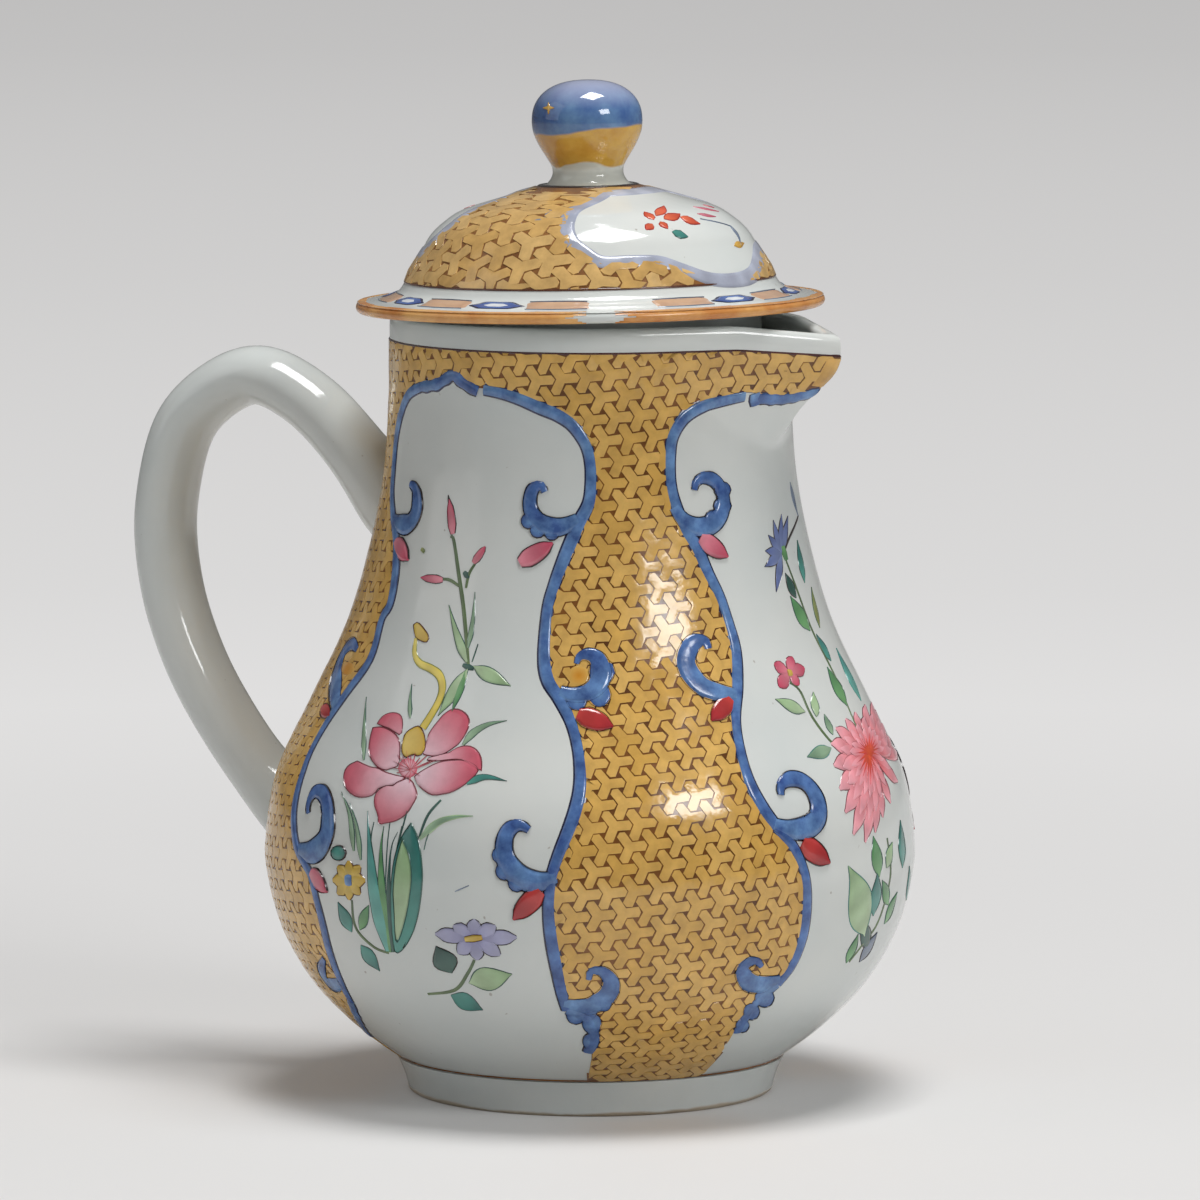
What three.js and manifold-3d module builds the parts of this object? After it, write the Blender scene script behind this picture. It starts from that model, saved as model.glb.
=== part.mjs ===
// A small porcelain cream jug with a cover. A thrown pear-shaped pot stands on a
// foot ring. A pinched beak is luted to its neck, and a loop handle to its side.
// The domed cover has a brim, a seat ring that drops into the neck, and a knob.
// Sizes are in millimetres, with +Z up, the beak along +X and the handle along -X.

import * as THREE from "three";
import { mergeVertices } from "three/addons/utils/BufferGeometryUtils.js";
import Module from "manifold-3d";

// Gap at a luted joint, and gap under the cover's brim where it rests on the rim
const JOINT_GAP = 0.3;
const BRIM_GAP = 0.3;

// Foot ring
const FOOT_HEIGHT = 4.8;
const FOOT_STAND_RADIUS = 24.5;
const FOOT_TOP_RADIUS = 26.0;
const FOOT_RING_WIDTH = 2.9;
const FOOT_EDGE_ROUND = 0.5;

// Pot: the rim stands at this height, and the wall has one thickness all over
const RIM_HEIGHT = 103.9;
const BELLY_RADIUS = 43.3;
const NECK_RADIUS = 26.7;
const BASE_INSET = 0.4;
const POT_WALL = 3.0;
const POT_FLOOR = 3.4;
const RIM_ROUND = 1.1;
const FLOOR_FILLET = 1.0;

// Pot outline between foot and rim: share of the height, share of the swell that
// the belly adds to the neck
const POT_OUTLINE = [
  [0.045, 0.29],
  [0.1025, 0.6235],
  [0.173, 0.867],
  [0.245, 0.985],
  [0.295, 1.0],
  [0.384, 0.91],
  [0.4845, 0.6265],
  [0.585, 0.343],
  [0.685, 0.163],
  [0.786, 0.045],
  [0.886, 0.003],
  [0.96, 0.0],
];

// Beak: its keel leaves the neck this far under the rim and reaches this far from
// the pot's axis, and its own rim falls by the droop from the neck to the tip
const BEAK_DEPTH = 16.3;
const BEAK_REACH = 37.0;
const BEAK_DROOP_HEIGHT = 1.5;
const BEAK_WALL = 2.1;
const BEAK_LEAST_ANGLE = THREE.MathUtils.degToRad(6);
const BEAK_PLAN_STEPS = 8;

// Keel outline: share of the beak's depth from its root up, share of its reach
const KEEL_OUTLINE = [
  [0.0, 0.0],
  [0.147, 0.19],
  [0.344, 0.437],
  [0.546, 0.738],
  [0.66, 0.9],
  [0.79, 0.985],
  [0.9, 1.0],
  [1.0, 0.965],
];

// Handle: reach of its outer edge from the pot's axis, height of the loop's top
// edge, and the height where its tail meets the belly
const HANDLE_REACH = 68.5;
const HANDLE_TOP = 98.3;
const HANDLE_TAIL = 33.0;
const HANDLE_THICKNESS = 8.0;
const HANDLE_WIDTH = 10.4;
const HANDLE_FLARE = 2.0;
const HANDLE_FLARE_LENGTH = 5.5;
const HANDLE_SIDES = 14;
const HANDLE_STEPS = 34;

// Handle centreline: share of the reach that its middle has beyond the neck,
// share of its height between tail and top
const HANDLE_OUTLINE = [
  [-0.14, 0.6],
  [0.02, 0.7],
  [0.17, 0.8],
  [0.33, 0.905],
  [0.47, 0.965],
  [0.64, 1.0],
  [0.83, 0.938],
  [0.94, 0.855],
  [0.995, 0.71],
  [1.0, 0.625],
  [0.985, 0.545],
  [0.95, 0.455],
  [0.865, 0.33],
  [0.745, 0.215],
  [0.63, 0.125],
  [0.53, 0.06],
  [0.4, -0.02],
  [0.2, -0.05],
];

// Cover
const BRIM_RADIUS = 31.1;
const BRIM_THICKNESS = 1.4;
const DOME_RADIUS = 24.7;
const DOME_HEIGHT = 16.5;
const DOME_FLARE_HEIGHT = 3.8;
const COVER_WALL = 2.6;
const COVER_MOUTH_RADIUS = 20.6;
const COVER_TILT = THREE.MathUtils.degToRad(1.15);

// Dome outline from the brim's sweep up to the knob: share of the dome's radius,
// share of the height above the sweep
const DOME_OUTLINE = [
  [1.0, 0.0],
  [0.972, 0.125],
  [0.931, 0.25],
  [0.891, 0.375],
  [0.85, 0.5],
  [0.781, 0.625],
  [0.676, 0.75],
  [0.466, 0.875],
];

// Sweep outline from the brim's edge in to the dome: share of the run, share of
// the rise
const SWEEP_OUTLINE = [
  [0.98, 0.0],
  [0.5, 0.15],
  [0.16, 0.48],
];

// Seat ring under the cover
const SEAT_CLEARANCE = 0.9;
const SEAT_RING_WIDTH = 2.3;
const SEAT_RING_DEPTH = 7.0;
const SEAT_RING_ROUND = 0.5;

// Knob
const KNOB_RADIUS = 7.35;
const KNOB_NECK_RADIUS = 4.7;
const KNOB_BASE_RADIUS = 6.0;
const KNOB_HEIGHT = 13.5;

// Knob outline between its neck and its top: share of the height, share of the
// swell that the ball adds to the neck
const KNOB_OUTLINE = [
  [0.13, 0.0],
  [0.24, 0.13],
  [0.36, 0.57],
  [0.475, 0.85],
  [0.59, 1.0],
  [0.7, 0.94],
  [0.82, 0.64],
  [0.93, 0.04],
  [0.98, -0.8],
];

// Flat steps that a turned surface is cut into, round the axis and up the outline
const TURN_STEPS = 48;
const POT_OUTLINE_STEPS = 22;
const BEAK_STEPS = 12;

const wasm = await Module();
wasm.setup();

// Turns a closed outline of [radius, height] points round the Z axis.
function turned(points) {
  const profile = points.map(([radius, height]) => new THREE.Vector2(radius, height));
  const geometry = new THREE.LatheGeometry(profile, TURN_STEPS);
  geometry.rotateX(Math.PI / 2);
  return geometry;
}

// Joins rings of equally many points into one closed surface with flat ends.
function lofted(rings) {
  const positions = rings.flat().flatMap((point) => [point.x, point.y, point.z]);
  const count = rings[0].length;
  const index = [];
  for (let ring = 0; ring + 1 < rings.length; ring += 1) {
    for (let i = 0; i < count; i += 1) {
      const a = ring * count + i;
      const b = ring * count + ((i + 1) % count);
      index.push(a, b, b + count, a, b + count, a + count);
    }
  }
  const last = (rings.length - 1) * count;
  for (let i = 1; i + 1 < count; i += 1) {
    index.push(0, i + 1, i);
    index.push(last, last + i, last + i + 1);
  }
  const geometry = new THREE.BufferGeometry();
  geometry.setAttribute("position", new THREE.Float32BufferAttribute(positions, 3));
  geometry.setIndex(index);
  return geometry;
}

// Makes a solid of a closed geometry, with its shared corners merged.
function solid(geometry) {
  const bare = geometry.clone();
  bare.deleteAttribute("normal");
  bare.deleteAttribute("uv");
  const merged = mergeVertices(bare, 1e-4);
  const vertProperties = new Float32Array(merged.getAttribute("position").array);
  const triVerts = new Uint32Array(merged.getIndex().array);
  return new wasm.Manifold(new wasm.Mesh({ numProp: 3, vertProperties, triVerts }));
}

// Gives a cut solid back as a geometry.
function cutGeometry(manifold) {
  const mesh = manifold.getMesh();
  const geometry = new THREE.BufferGeometry();
  geometry.setAttribute("position", new THREE.BufferAttribute(mesh.vertProperties, 3));
  geometry.setIndex(new THREE.BufferAttribute(mesh.triVerts, 1));
  return geometry;
}

// A smooth curve through pairs of numbers.
function outline(pairs) {
  return new THREE.SplineCurve(pairs.map(([x, y]) => new THREE.Vector2(x, y)));
}

// Pot wall: outside curve of [radius, height], from the foot to under the lip.
function potCurve() {
  const rise = RIM_HEIGHT - FOOT_HEIGHT;
  const swell = BELLY_RADIUS - NECK_RADIUS;
  const base = [FOOT_TOP_RADIUS - BASE_INSET, FOOT_HEIGHT];
  const stations = POT_OUTLINE.map(([up, out]) => [
    NECK_RADIUS + out * swell,
    FOOT_HEIGHT + up * rise,
  ]);
  return outline([base, ...stations]);
}

const potOutside = potCurve().getPoints(POT_OUTLINE_STEPS);

// Radius of the pot's outside at a height.
function potRadius(height) {
  const above = potOutside.findIndex((point) => point.y >= height);
  if (above === -1) {
    return NECK_RADIUS;
  }
  if (above === 0) {
    return potOutside[0].x;
  }
  const low = potOutside[above - 1];
  const high = potOutside[above];
  const share = (height - low.y) / (high.y - low.y);
  return low.x + share * (high.x - low.x);
}

// An outline moved out by a distance, or in by a negative one, square to itself.
function offset(points, distance) {
  return points.map((point, i) => {
    const before = points[Math.max(i - 1, 0)];
    const after = points[Math.min(i + 1, points.length - 1)];
    const along = after.clone().sub(before).normalize();
    return [point.x + along.y * distance, point.y - along.x * distance];
  });
}

// A closed solid that fills the pot to its outside, grown by a gap, and goes on
// above the rim by an extra height.
function potFilled(gap, extra) {
  const side = offset(potOutside, gap);
  const top = RIM_HEIGHT + extra;
  return solid(turned([
    [0, FOOT_HEIGHT - gap],
    [side[0][0], FOOT_HEIGHT - gap],
    ...side,
    [NECK_RADIUS + gap, top],
    [0, top],
  ]));
}

const keelCurve = outline(KEEL_OUTLINE);

// One level of the beak in plan: two straight sides, touching the neck's circle,
// that meet at the keel. The top level droops towards the tip.
function beakRing(share, inset, topHeight) {
  const keel = keelCurve.getPoint(share);
  const tipTop = topHeight - BEAK_DROOP_HEIGHT;
  const root = RIM_HEIGHT - BEAK_DEPTH;
  const height = root + keel.x * (tipTop - root);
  const neck = potRadius(height) - inset;
  const keelInset = inset * Math.SQRT2;
  const keelReach = potRadius(height) + keel.y * (BEAK_REACH - NECK_RADIUS);
  const reach = keelReach - keelInset;
  const tangent = Math.acos(Math.min(neck / reach, Math.cos(BEAK_LEAST_ANGLE)));
  const tip = neck / Math.cos(tangent);
  const points = [new THREE.Vector3(0, 0, height)];
  for (let step = 0; step <= BEAK_PLAN_STEPS; step += 1) {
    const angle = tangent * ((2 * step) / BEAK_PLAN_STEPS - 1);
    const radius = neck / Math.cos(tangent - Math.abs(angle));
    const out = Math.max(0, (radius * Math.cos(angle) - neck) / (tip - neck));
    const lift = keel.x * BEAK_DROOP_HEIGHT * (1 - out);
    const x = radius * Math.cos(angle);
    const y = radius * Math.sin(angle);
    points.push(new THREE.Vector3(x, y, height + lift));
  }
  points[0].z += keel.x * BEAK_DROOP_HEIGHT;
  return points;
}

// The beak's outside, or its channel when it is inset by a wall.
function beakFilled(inset, topHeight) {
  const rings = [];
  for (let step = 0; step <= BEAK_STEPS; step += 1) {
    rings.push(beakRing(step / BEAK_STEPS, inset, topHeight));
  }
  return solid(lofted(rings));
}

// Foot ring: narrows towards the table and is hollow under the pot.
function footRing() {
  const inner = FOOT_STAND_RADIUS - FOOT_RING_WIDTH;
  const top = FOOT_HEIGHT - JOINT_GAP;
  return turned([
    [inner, FOOT_EDGE_ROUND],
    [inner + FOOT_EDGE_ROUND, 0],
    [FOOT_STAND_RADIUS - FOOT_EDGE_ROUND, 0],
    [FOOT_STAND_RADIUS, FOOT_EDGE_ROUND],
    [FOOT_TOP_RADIUS, top],
    [inner, top],
    [inner, FOOT_EDGE_ROUND],
  ]);
}

// Pot: outside, rounded lip, inside and floor, with the way into the beak cut.
function pot(beakChannel) {
  const floor = FOOT_HEIGHT + POT_FLOOR;
  const inside = offset(potOutside, -POT_WALL).filter(
    ([, height]) => height > floor + FLOOR_FILLET,
  );
  inside.reverse();
  const bore = NECK_RADIUS - POT_WALL;
  const under = inside[inside.length - 1];
  const wall = turned([
    [0, FOOT_HEIGHT],
    ...potOutside.map((point) => [point.x, point.y]),
    [NECK_RADIUS, RIM_HEIGHT - RIM_ROUND],
    [NECK_RADIUS - RIM_ROUND / 3, RIM_HEIGHT - RIM_ROUND / 3],
    [NECK_RADIUS - RIM_ROUND, RIM_HEIGHT],
    [bore + RIM_ROUND, RIM_HEIGHT],
    [bore + RIM_ROUND / 3, RIM_HEIGHT - RIM_ROUND / 3],
    [bore, RIM_HEIGHT - RIM_ROUND],
    ...inside,
    [under[0] - 2 * FLOOR_FILLET, floor],
    [0, floor],
  ]);
  return cutGeometry(solid(wall).subtract(beakChannel));
}

// Beak: a pinched wall that closes the cut in the neck.
function beak(beakChannel) {
  const outside = beakFilled(0, RIM_HEIGHT);
  const neck = potFilled(JOINT_GAP, RIM_HEIGHT);
  return cutGeometry(outside.subtract(beakChannel).subtract(neck));
}

// Handle: an oval section along a loop, thicker where it is luted to the pot.
function handle() {
  const middleReach = HANDLE_REACH - HANDLE_THICKNESS / 2 - NECK_RADIUS;
  const middleTop = HANDLE_TOP - HANDLE_THICKNESS / 2;
  const rise = middleTop - HANDLE_TAIL;
  const points = HANDLE_OUTLINE.map(([out, up]) => {
    const x = -(NECK_RADIUS + out * middleReach);
    return new THREE.Vector3(x, 0, HANDLE_TAIL + up * rise);
  });
  const curve = new THREE.CatmullRomCurve3(points, false, "centripetal");
  const side = new THREE.Vector3(0, 1, 0);
  const rings = [];
  for (let step = 0; step <= HANDLE_STEPS; step += 1) {
    const share = step / HANDLE_STEPS;
    const centre = curve.getPointAt(share);
    const across = side.clone().cross(curve.getTangentAt(share)).normalize();
    const clear = Math.max(0, -centre.x - potRadius(centre.z));
    const flare = HANDLE_FLARE * Math.exp(-((clear / HANDLE_FLARE_LENGTH) ** 2));
    const ring = [];
    for (let i = 0; i < HANDLE_SIDES; i += 1) {
      const turn = (2 * Math.PI * i) / HANDLE_SIDES;
      const deep = (HANDLE_THICKNESS / 2 + flare) * Math.cos(turn);
      const wide = (HANDLE_WIDTH / 2 + flare / 2) * Math.sin(turn);
      ring.push(centre.clone().addScaledVector(across, deep).addScaledVector(side, wide));
    }
    rings.push(ring);
  }
  return cutGeometry(solid(lofted(rings)).subtract(potFilled(JOINT_GAP, 0)));
}

// Cover: brim, concave sweep, and dome, hollow underneath. Heights are counted
// from the brim's underside.
function cover() {
  const rise = DOME_HEIGHT - DOME_FLARE_HEIGHT;
  const dome = DOME_OUTLINE.map(([out, up]) => {
    return new THREE.Vector2(DOME_RADIUS * out, DOME_FLARE_HEIGHT + rise * up);
  });
  const sweepRun = BRIM_RADIUS - DOME_RADIUS;
  const sweepRise = DOME_FLARE_HEIGHT - BRIM_THICKNESS;
  const sweep = SWEEP_OUTLINE.map(([out, up]) => [
    DOME_RADIUS + sweepRun * out,
    BRIM_THICKNESS + sweepRise * up,
  ]);
  const hollow = offset(dome, -COVER_WALL).filter(
    ([radius]) => radius < COVER_MOUTH_RADIUS && radius > KNOB_BASE_RADIUS,
  );
  hollow.reverse();
  return turned([
    [COVER_MOUTH_RADIUS, 0],
    [BRIM_RADIUS - BRIM_THICKNESS / 3, 0],
    [BRIM_RADIUS, BRIM_THICKNESS / 2],
    ...sweep,
    ...dome.map((point) => [point.x, point.y]),
    [KNOB_BASE_RADIUS, DOME_HEIGHT],
    [0, DOME_HEIGHT],
    [0, DOME_HEIGHT - COVER_WALL],
    [KNOB_BASE_RADIUS, DOME_HEIGHT - COVER_WALL],
    ...hollow,
    [COVER_MOUTH_RADIUS, 0],
  ]);
}

// Seat ring: drops into the neck and keeps the cover from sliding off.
function seatRing() {
  const outer = NECK_RADIUS - POT_WALL - SEAT_CLEARANCE;
  const inner = outer - SEAT_RING_WIDTH;
  const low = -SEAT_RING_DEPTH;
  return turned([
    [inner, -JOINT_GAP],
    [inner, low + SEAT_RING_ROUND],
    [inner + SEAT_RING_ROUND, low],
    [outer - SEAT_RING_ROUND, low],
    [outer, low + SEAT_RING_ROUND],
    [outer, -JOINT_GAP],
    [inner, -JOINT_GAP],
  ]);
}

// Knob: a waisted neck under a slightly flattened ball.
function knob() {
  const foot = DOME_HEIGHT + JOINT_GAP;
  const swell = KNOB_RADIUS - KNOB_NECK_RADIUS;
  const side = KNOB_OUTLINE.map(([up, out]) => [
    KNOB_NECK_RADIUS + out * swell,
    foot + up * KNOB_HEIGHT,
  ]);
  const top = foot + KNOB_HEIGHT;
  return turned([
    [0, foot],
    [KNOB_BASE_RADIUS, foot],
    ...side,
    [0, top],
  ]);
}

// Glazed porcelain, painted with enamels.
function porcelain(color) {
  return new THREE.MeshStandardMaterial({ color, roughness: 0.15, metalness: 0 });
}

function piece(name, geometry, color) {
  const mesh = new THREE.Mesh(geometry, porcelain(color));
  mesh.name = name;
  return mesh;
}

const GLAZE_WHITE = 0xdfe1de;
const ENAMEL_YELLOW = 0xc79a55;
const ENAMEL_BLUE = 0x4a66a8;
const ENAMEL_AMBER = 0xb5793c;

// The channel goes on above the rim, so that it cuts the mouth open.
const beakChannel = beakFilled(BEAK_WALL, RIM_HEIGHT + BEAK_WALL);

const jug = new THREE.Group();
jug.add(piece("foot_ring", footRing(), GLAZE_WHITE));
jug.add(piece("pot", pot(beakChannel), ENAMEL_YELLOW));
jug.add(piece("beak_lip", beak(beakChannel), GLAZE_WHITE));
jug.add(piece("handle", handle(), GLAZE_WHITE));

const lid = new THREE.Group();
lid.add(piece("cover", cover(), ENAMEL_AMBER));
lid.add(piece("cover_seat_ring", seatRing(), GLAZE_WHITE));
lid.add(piece("cover_knob", knob(), ENAMEL_BLUE));
lid.position.x = NECK_RADIUS;

// The cover rests on the rim by the handle and rides up a little by the beak.
const tiltedLid = new THREE.Group();
tiltedLid.add(lid);
tiltedLid.position.set(-NECK_RADIUS, 0, RIM_HEIGHT + BRIM_GAP);
tiltedLid.rotation.y = -COVER_TILT;

// The origin stands on the table, under the middle of the whole jug.
const model = new THREE.Group();
model.add(jug, tiltedLid);
model.updateMatrixWorld(true);
const bounds = new THREE.Box3().setFromObject(model, true);
model.position.x = -(bounds.min.x + bounds.max.x) / 2;

export default model;
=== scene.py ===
"""A small porcelain cream jug with a cover, painted in enamels.

The jug is a pear-shaped pot on a foot ring, with a pinched beak, a loop handle and a
domed cover with a round knob. Forms are worked out in millimetres and built in metres.
"""

import logging
import math
from dataclasses import dataclass, field
from enum import Enum
from typing import Callable, Iterable, Protocol, Sequence

import bpy
import numpy as np
from mathutils import Matrix, Vector


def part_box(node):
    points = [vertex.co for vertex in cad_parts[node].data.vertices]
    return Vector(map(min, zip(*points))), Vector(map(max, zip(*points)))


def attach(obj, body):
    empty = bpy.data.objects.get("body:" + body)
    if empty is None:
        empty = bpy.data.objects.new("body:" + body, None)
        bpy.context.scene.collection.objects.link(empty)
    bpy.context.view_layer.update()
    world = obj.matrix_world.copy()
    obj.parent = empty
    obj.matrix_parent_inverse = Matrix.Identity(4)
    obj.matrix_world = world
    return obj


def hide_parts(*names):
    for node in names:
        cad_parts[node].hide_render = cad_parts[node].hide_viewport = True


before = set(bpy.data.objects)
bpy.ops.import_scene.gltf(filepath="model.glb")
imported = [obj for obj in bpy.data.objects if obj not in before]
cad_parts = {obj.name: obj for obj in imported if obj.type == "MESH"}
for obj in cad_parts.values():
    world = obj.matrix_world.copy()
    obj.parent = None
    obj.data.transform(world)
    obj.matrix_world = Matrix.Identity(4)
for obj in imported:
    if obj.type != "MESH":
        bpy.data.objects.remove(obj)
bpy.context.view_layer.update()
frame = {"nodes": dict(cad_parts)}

LOG = logging.getLogger("cream_jug")
MM = 0.001
TINT = "tint"

Pair = tuple[float, float]
Line = tuple[Pair, ...]
Array = np.ndarray
Numbers = float | Array
Covers = Callable[[Array, Array], Array]
Colour = tuple[float, float, float]
Fold = Callable[[Array, Array], Array]
Piece = bpy.types.Object
Finish = bpy.types.Material
Socket = bpy.types.NodeSocket


class Body(Enum):
    """What moves as one: the jug that stands, and the lid that lifts off."""

    JUG = "jug"
    LID = "lid"


class Slot(Enum):
    """Finishes that the record names."""

    WHITE = "white_glaze"
    YELLOW = "yellow_enamel"
    AMBER = "amber_enamel"
    BLUE = "blue_enamel"
    ROSE = "rose_enamel"
    GREEN = "green_enamel"
    BROWN = "brown_line"


def linear(colour: Colour) -> tuple[float, float, float, float]:
    """Turns a colour as seen on a screen, 0 to 255, into linear light.

    Args:
        colour: Red, green and blue, each from 0 to 255.

    Returns:
        Red, green, blue and an alpha of 1, each from 0 to 1.
    """
    shares = [channel / 255 for channel in colour]
    bright = [s / 12.92 if s <= 0.04045 else ((s + 0.055) / 1.055) ** 2.4 for s in shares]
    return (bright[0], bright[1], bright[2], 1.0)


def smoothed(points: Sequence[Sequence[float]], steps: int) -> Array:
    """Runs a smooth line through points.

    Args:
        points: Points of any dimension, in order.
        steps: Steps from each point to the next.

    Returns:
        The line's points, one row each.
    """
    given = np.array(points, float)
    padded = np.vstack([given[0], given, given[-1]])
    rows = []
    for i in range(len(given) - 1):
        before, start, end, after = padded[i:i + 4]
        leave, arrive = (end - before) / 2, (after - start) / 2
        for step in range(steps):
            t = step / steps
            cubic = (2 * start - 2 * end + leave + arrive) * t ** 3
            square = (3 * end - 3 * start - 2 * leave - arrive) * t ** 2
            rows.append(cubic + square + leave * t + start)
    rows.append(given[-1])
    return np.array(rows)


def moved_out(line: Array, distance: float) -> Array:
    """Moves a line of (radius, height) points out square to itself.

    Args:
        line: Points from the bottom up.
        distance: How far out, or in where it is negative.

    Returns:
        The moved points.
    """
    along = np.gradient(line, axis=0)
    along /= np.linalg.norm(along, axis=1)[:, None]
    return line + distance * np.stack([along[:, 1], -along[:, 0]], 1)


class Bench:
    """Makes, shapes and joins meshes with Blender's own modelling operators."""

    @staticmethod
    def clear() -> None:
        """Deselects everything."""
        for thing in bpy.context.selected_objects:
            thing.select_set(False)

    @staticmethod
    def pick(piece: Piece) -> None:
        """Selects one piece and makes it the active one.

        Args:
            piece: The piece.
        """
        Bench.clear()
        piece.select_set(True)
        bpy.context.view_layer.objects.active = piece

    @staticmethod
    def settle(piece: Piece, weld: float = 1e-7, fill: bool = True) -> None:
        """Welds doubles, closes open ends and turns all faces outwards.

        Args:
            piece: The mesh to settle.
            weld: Distance under which points are one, in metres.
            fill: Whether open ends are closed.
        """
        Bench.pick(piece)
        bpy.ops.object.mode_set(mode="EDIT")
        bpy.ops.mesh.select_all(action="SELECT")
        bpy.ops.mesh.remove_doubles(threshold=weld)
        if fill:
            bpy.ops.mesh.fill_holes(sides=0)
            bpy.ops.mesh.select_all(action="SELECT")
        bpy.ops.mesh.normals_make_consistent(inside=False)
        bpy.ops.object.mode_set(mode="OBJECT")

    @staticmethod
    def turned(name: str, outline: Sequence[Pair], steps: int) -> Piece:
        """Spins an outline that starts and ends on the axis, or closes on itself.

        Args:
            name: The piece's name.
            outline: (radius, height) points in millimetres.
            steps: Flat steps round the axis.

        Returns:
            The turned piece, round the Z axis.
        """
        closed = outline[0][0] > 0
        Bench.clear()
        bpy.ops.mesh.primitive_circle_add(vertices=len(outline), radius=1, fill_type="NOTHING")
        piece = bpy.context.object
        piece.name = name
        places = np.array([(r * MM, 0.0, z * MM) for r, z in outline])
        piece.data.vertices.foreach_set("co", places.ravel())
        if not closed:
            last = len(outline) - 1
            bpy.ops.object.mode_set(mode="EDIT")
            bpy.ops.mesh.select_mode(type="EDGE")
            bpy.ops.mesh.select_all(action="DESELECT")
            bpy.ops.object.mode_set(mode="OBJECT")
            for edge in piece.data.edges:
                edge.select = set(edge.vertices) == {0, last}
            bpy.ops.object.mode_set(mode="EDIT")
            bpy.ops.mesh.delete(type="EDGE")
            bpy.ops.mesh.select_mode(type="VERT")
            bpy.ops.object.mode_set(mode="OBJECT")
        bpy.ops.object.mode_set(mode="EDIT")
        bpy.ops.mesh.select_all(action="SELECT")
        bpy.ops.mesh.spin(steps=steps, angle=2 * math.pi, center=(0, 0, 0), axis=(0, 0, 1))
        bpy.ops.object.mode_set(mode="OBJECT")
        Bench.settle(piece, fill=False)
        return piece

    @staticmethod
    def wrapped(
        name: str,
        rings: Array,
        tints: Array | None = None,
        closed: bool = True,
    ) -> Piece:
        """Wraps a grid round rings of points, and leaves its seam to be settled.

        Args:
            name: The piece's name.
            rings: Rings by points by (x, y, z), in metres.
            tints: A colour for each point of each ring, or none.
            closed: Whether each ring runs back to its first point.

        Returns:
            The piece.
        """
        if closed:
            rings = np.concatenate([rings, rings[:, :1]], axis=1)
        count, around = rings.shape[:2]
        Bench.clear()
        bpy.ops.mesh.primitive_grid_add(x_subdivisions=around - 1, y_subdivisions=count - 1, size=2)
        piece = bpy.context.object
        piece.name = name
        piece.data.vertices.foreach_set("co", rings.reshape(-1).astype(np.float32))
        if tints is not None:
            if closed:
                tints = np.concatenate([tints, tints[:, :1]], axis=1)
            Bench.tint(piece, tints.reshape(-1, tints.shape[-1]))
        return piece

    @staticmethod
    def lofted(name: str, rings: Array) -> Piece:
        """Wraps a grid round closed rings of points, and closes both ends.

        Args:
            name: The piece's name.
            rings: Rings by points by (x, y, z), in metres.

        Returns:
            The closed piece.
        """
        piece = Bench.wrapped(name, rings)
        Bench.settle(piece)
        return piece

    @staticmethod
    def tint(piece: Piece, colours: Array) -> None:
        """Gives every point of a mesh a colour.

        Args:
            piece: The mesh.
            colours: Linear red, green, blue and alpha for each point.
        """
        layer = piece.data.color_attributes.new(TINT, "FLOAT_COLOR", "POINT")
        layer.data.foreach_set("color", colours.astype(np.float32).ravel())

    @staticmethod
    def joined(name: str, parts: Sequence[Piece]) -> Piece:
        """Joins parts into one piece.

        Args:
            name: The piece's name.
            parts: Its parts.

        Returns:
            The piece.
        """
        Bench.pick(parts[0])
        for part in parts[1:]:
            part.select_set(True)
        if len(parts) > 1:
            bpy.ops.object.join()
        parts[0].name = name
        return parts[0]

    @staticmethod
    def copied(piece: Piece, name: str) -> Piece:
        """Copies a piece with a mesh of its own.

        Args:
            piece: The piece.
            name: The copy's name.

        Returns:
            The copy.
        """
        twin = piece.copy()
        twin.data = piece.data.copy()
        twin.name = name
        bpy.context.scene.collection.objects.link(twin)
        return twin

    @staticmethod
    def smooth(piece: Piece, angle: float = 40) -> None:
        """Shades a piece smooth, but for edges sharper than an angle in degrees.

        Args:
            piece: The piece.
            angle: The angle.
        """
        Bench.pick(piece)
        bpy.ops.object.shade_smooth_by_angle(angle=math.radians(angle))

    @staticmethod
    def cut(piece: Piece, tool: Piece, how: str) -> None:
        """Cuts a piece with a tool by a Boolean modifier and applies it.

        Args:
            piece: What is cut.
            tool: The solid that cuts.
            how: DIFFERENCE or INTERSECT.
        """
        Bench.pick(piece)
        modifier = piece.modifiers.new("cut", "BOOLEAN")
        modifier.operation = how
        modifier.solver = "EXACT"
        modifier.object = tool
        bpy.ops.object.modifier_apply(modifier=modifier.name)


def hand_in(
    piece: Piece,
    body: Body,
    finish: Finish,
    nodes: Sequence[str] = (),
) -> Piece:
    """Dresses a finished piece and ties it to the body that it moves with.

    Args:
        piece: The finished mesh.
        body: The body that it rides on.
        finish: The material.
        nodes: Names of the CAD nodes that it stands for.

    Returns:
        The same piece.
    """
    piece.data.materials.clear()
    piece.data.materials.append(finish)
    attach(piece, body.value)
    if nodes:
        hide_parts(*nodes)
    LOG.info("%s: %d faces", piece.name, len(piece.data.polygons))
    return piece


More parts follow.
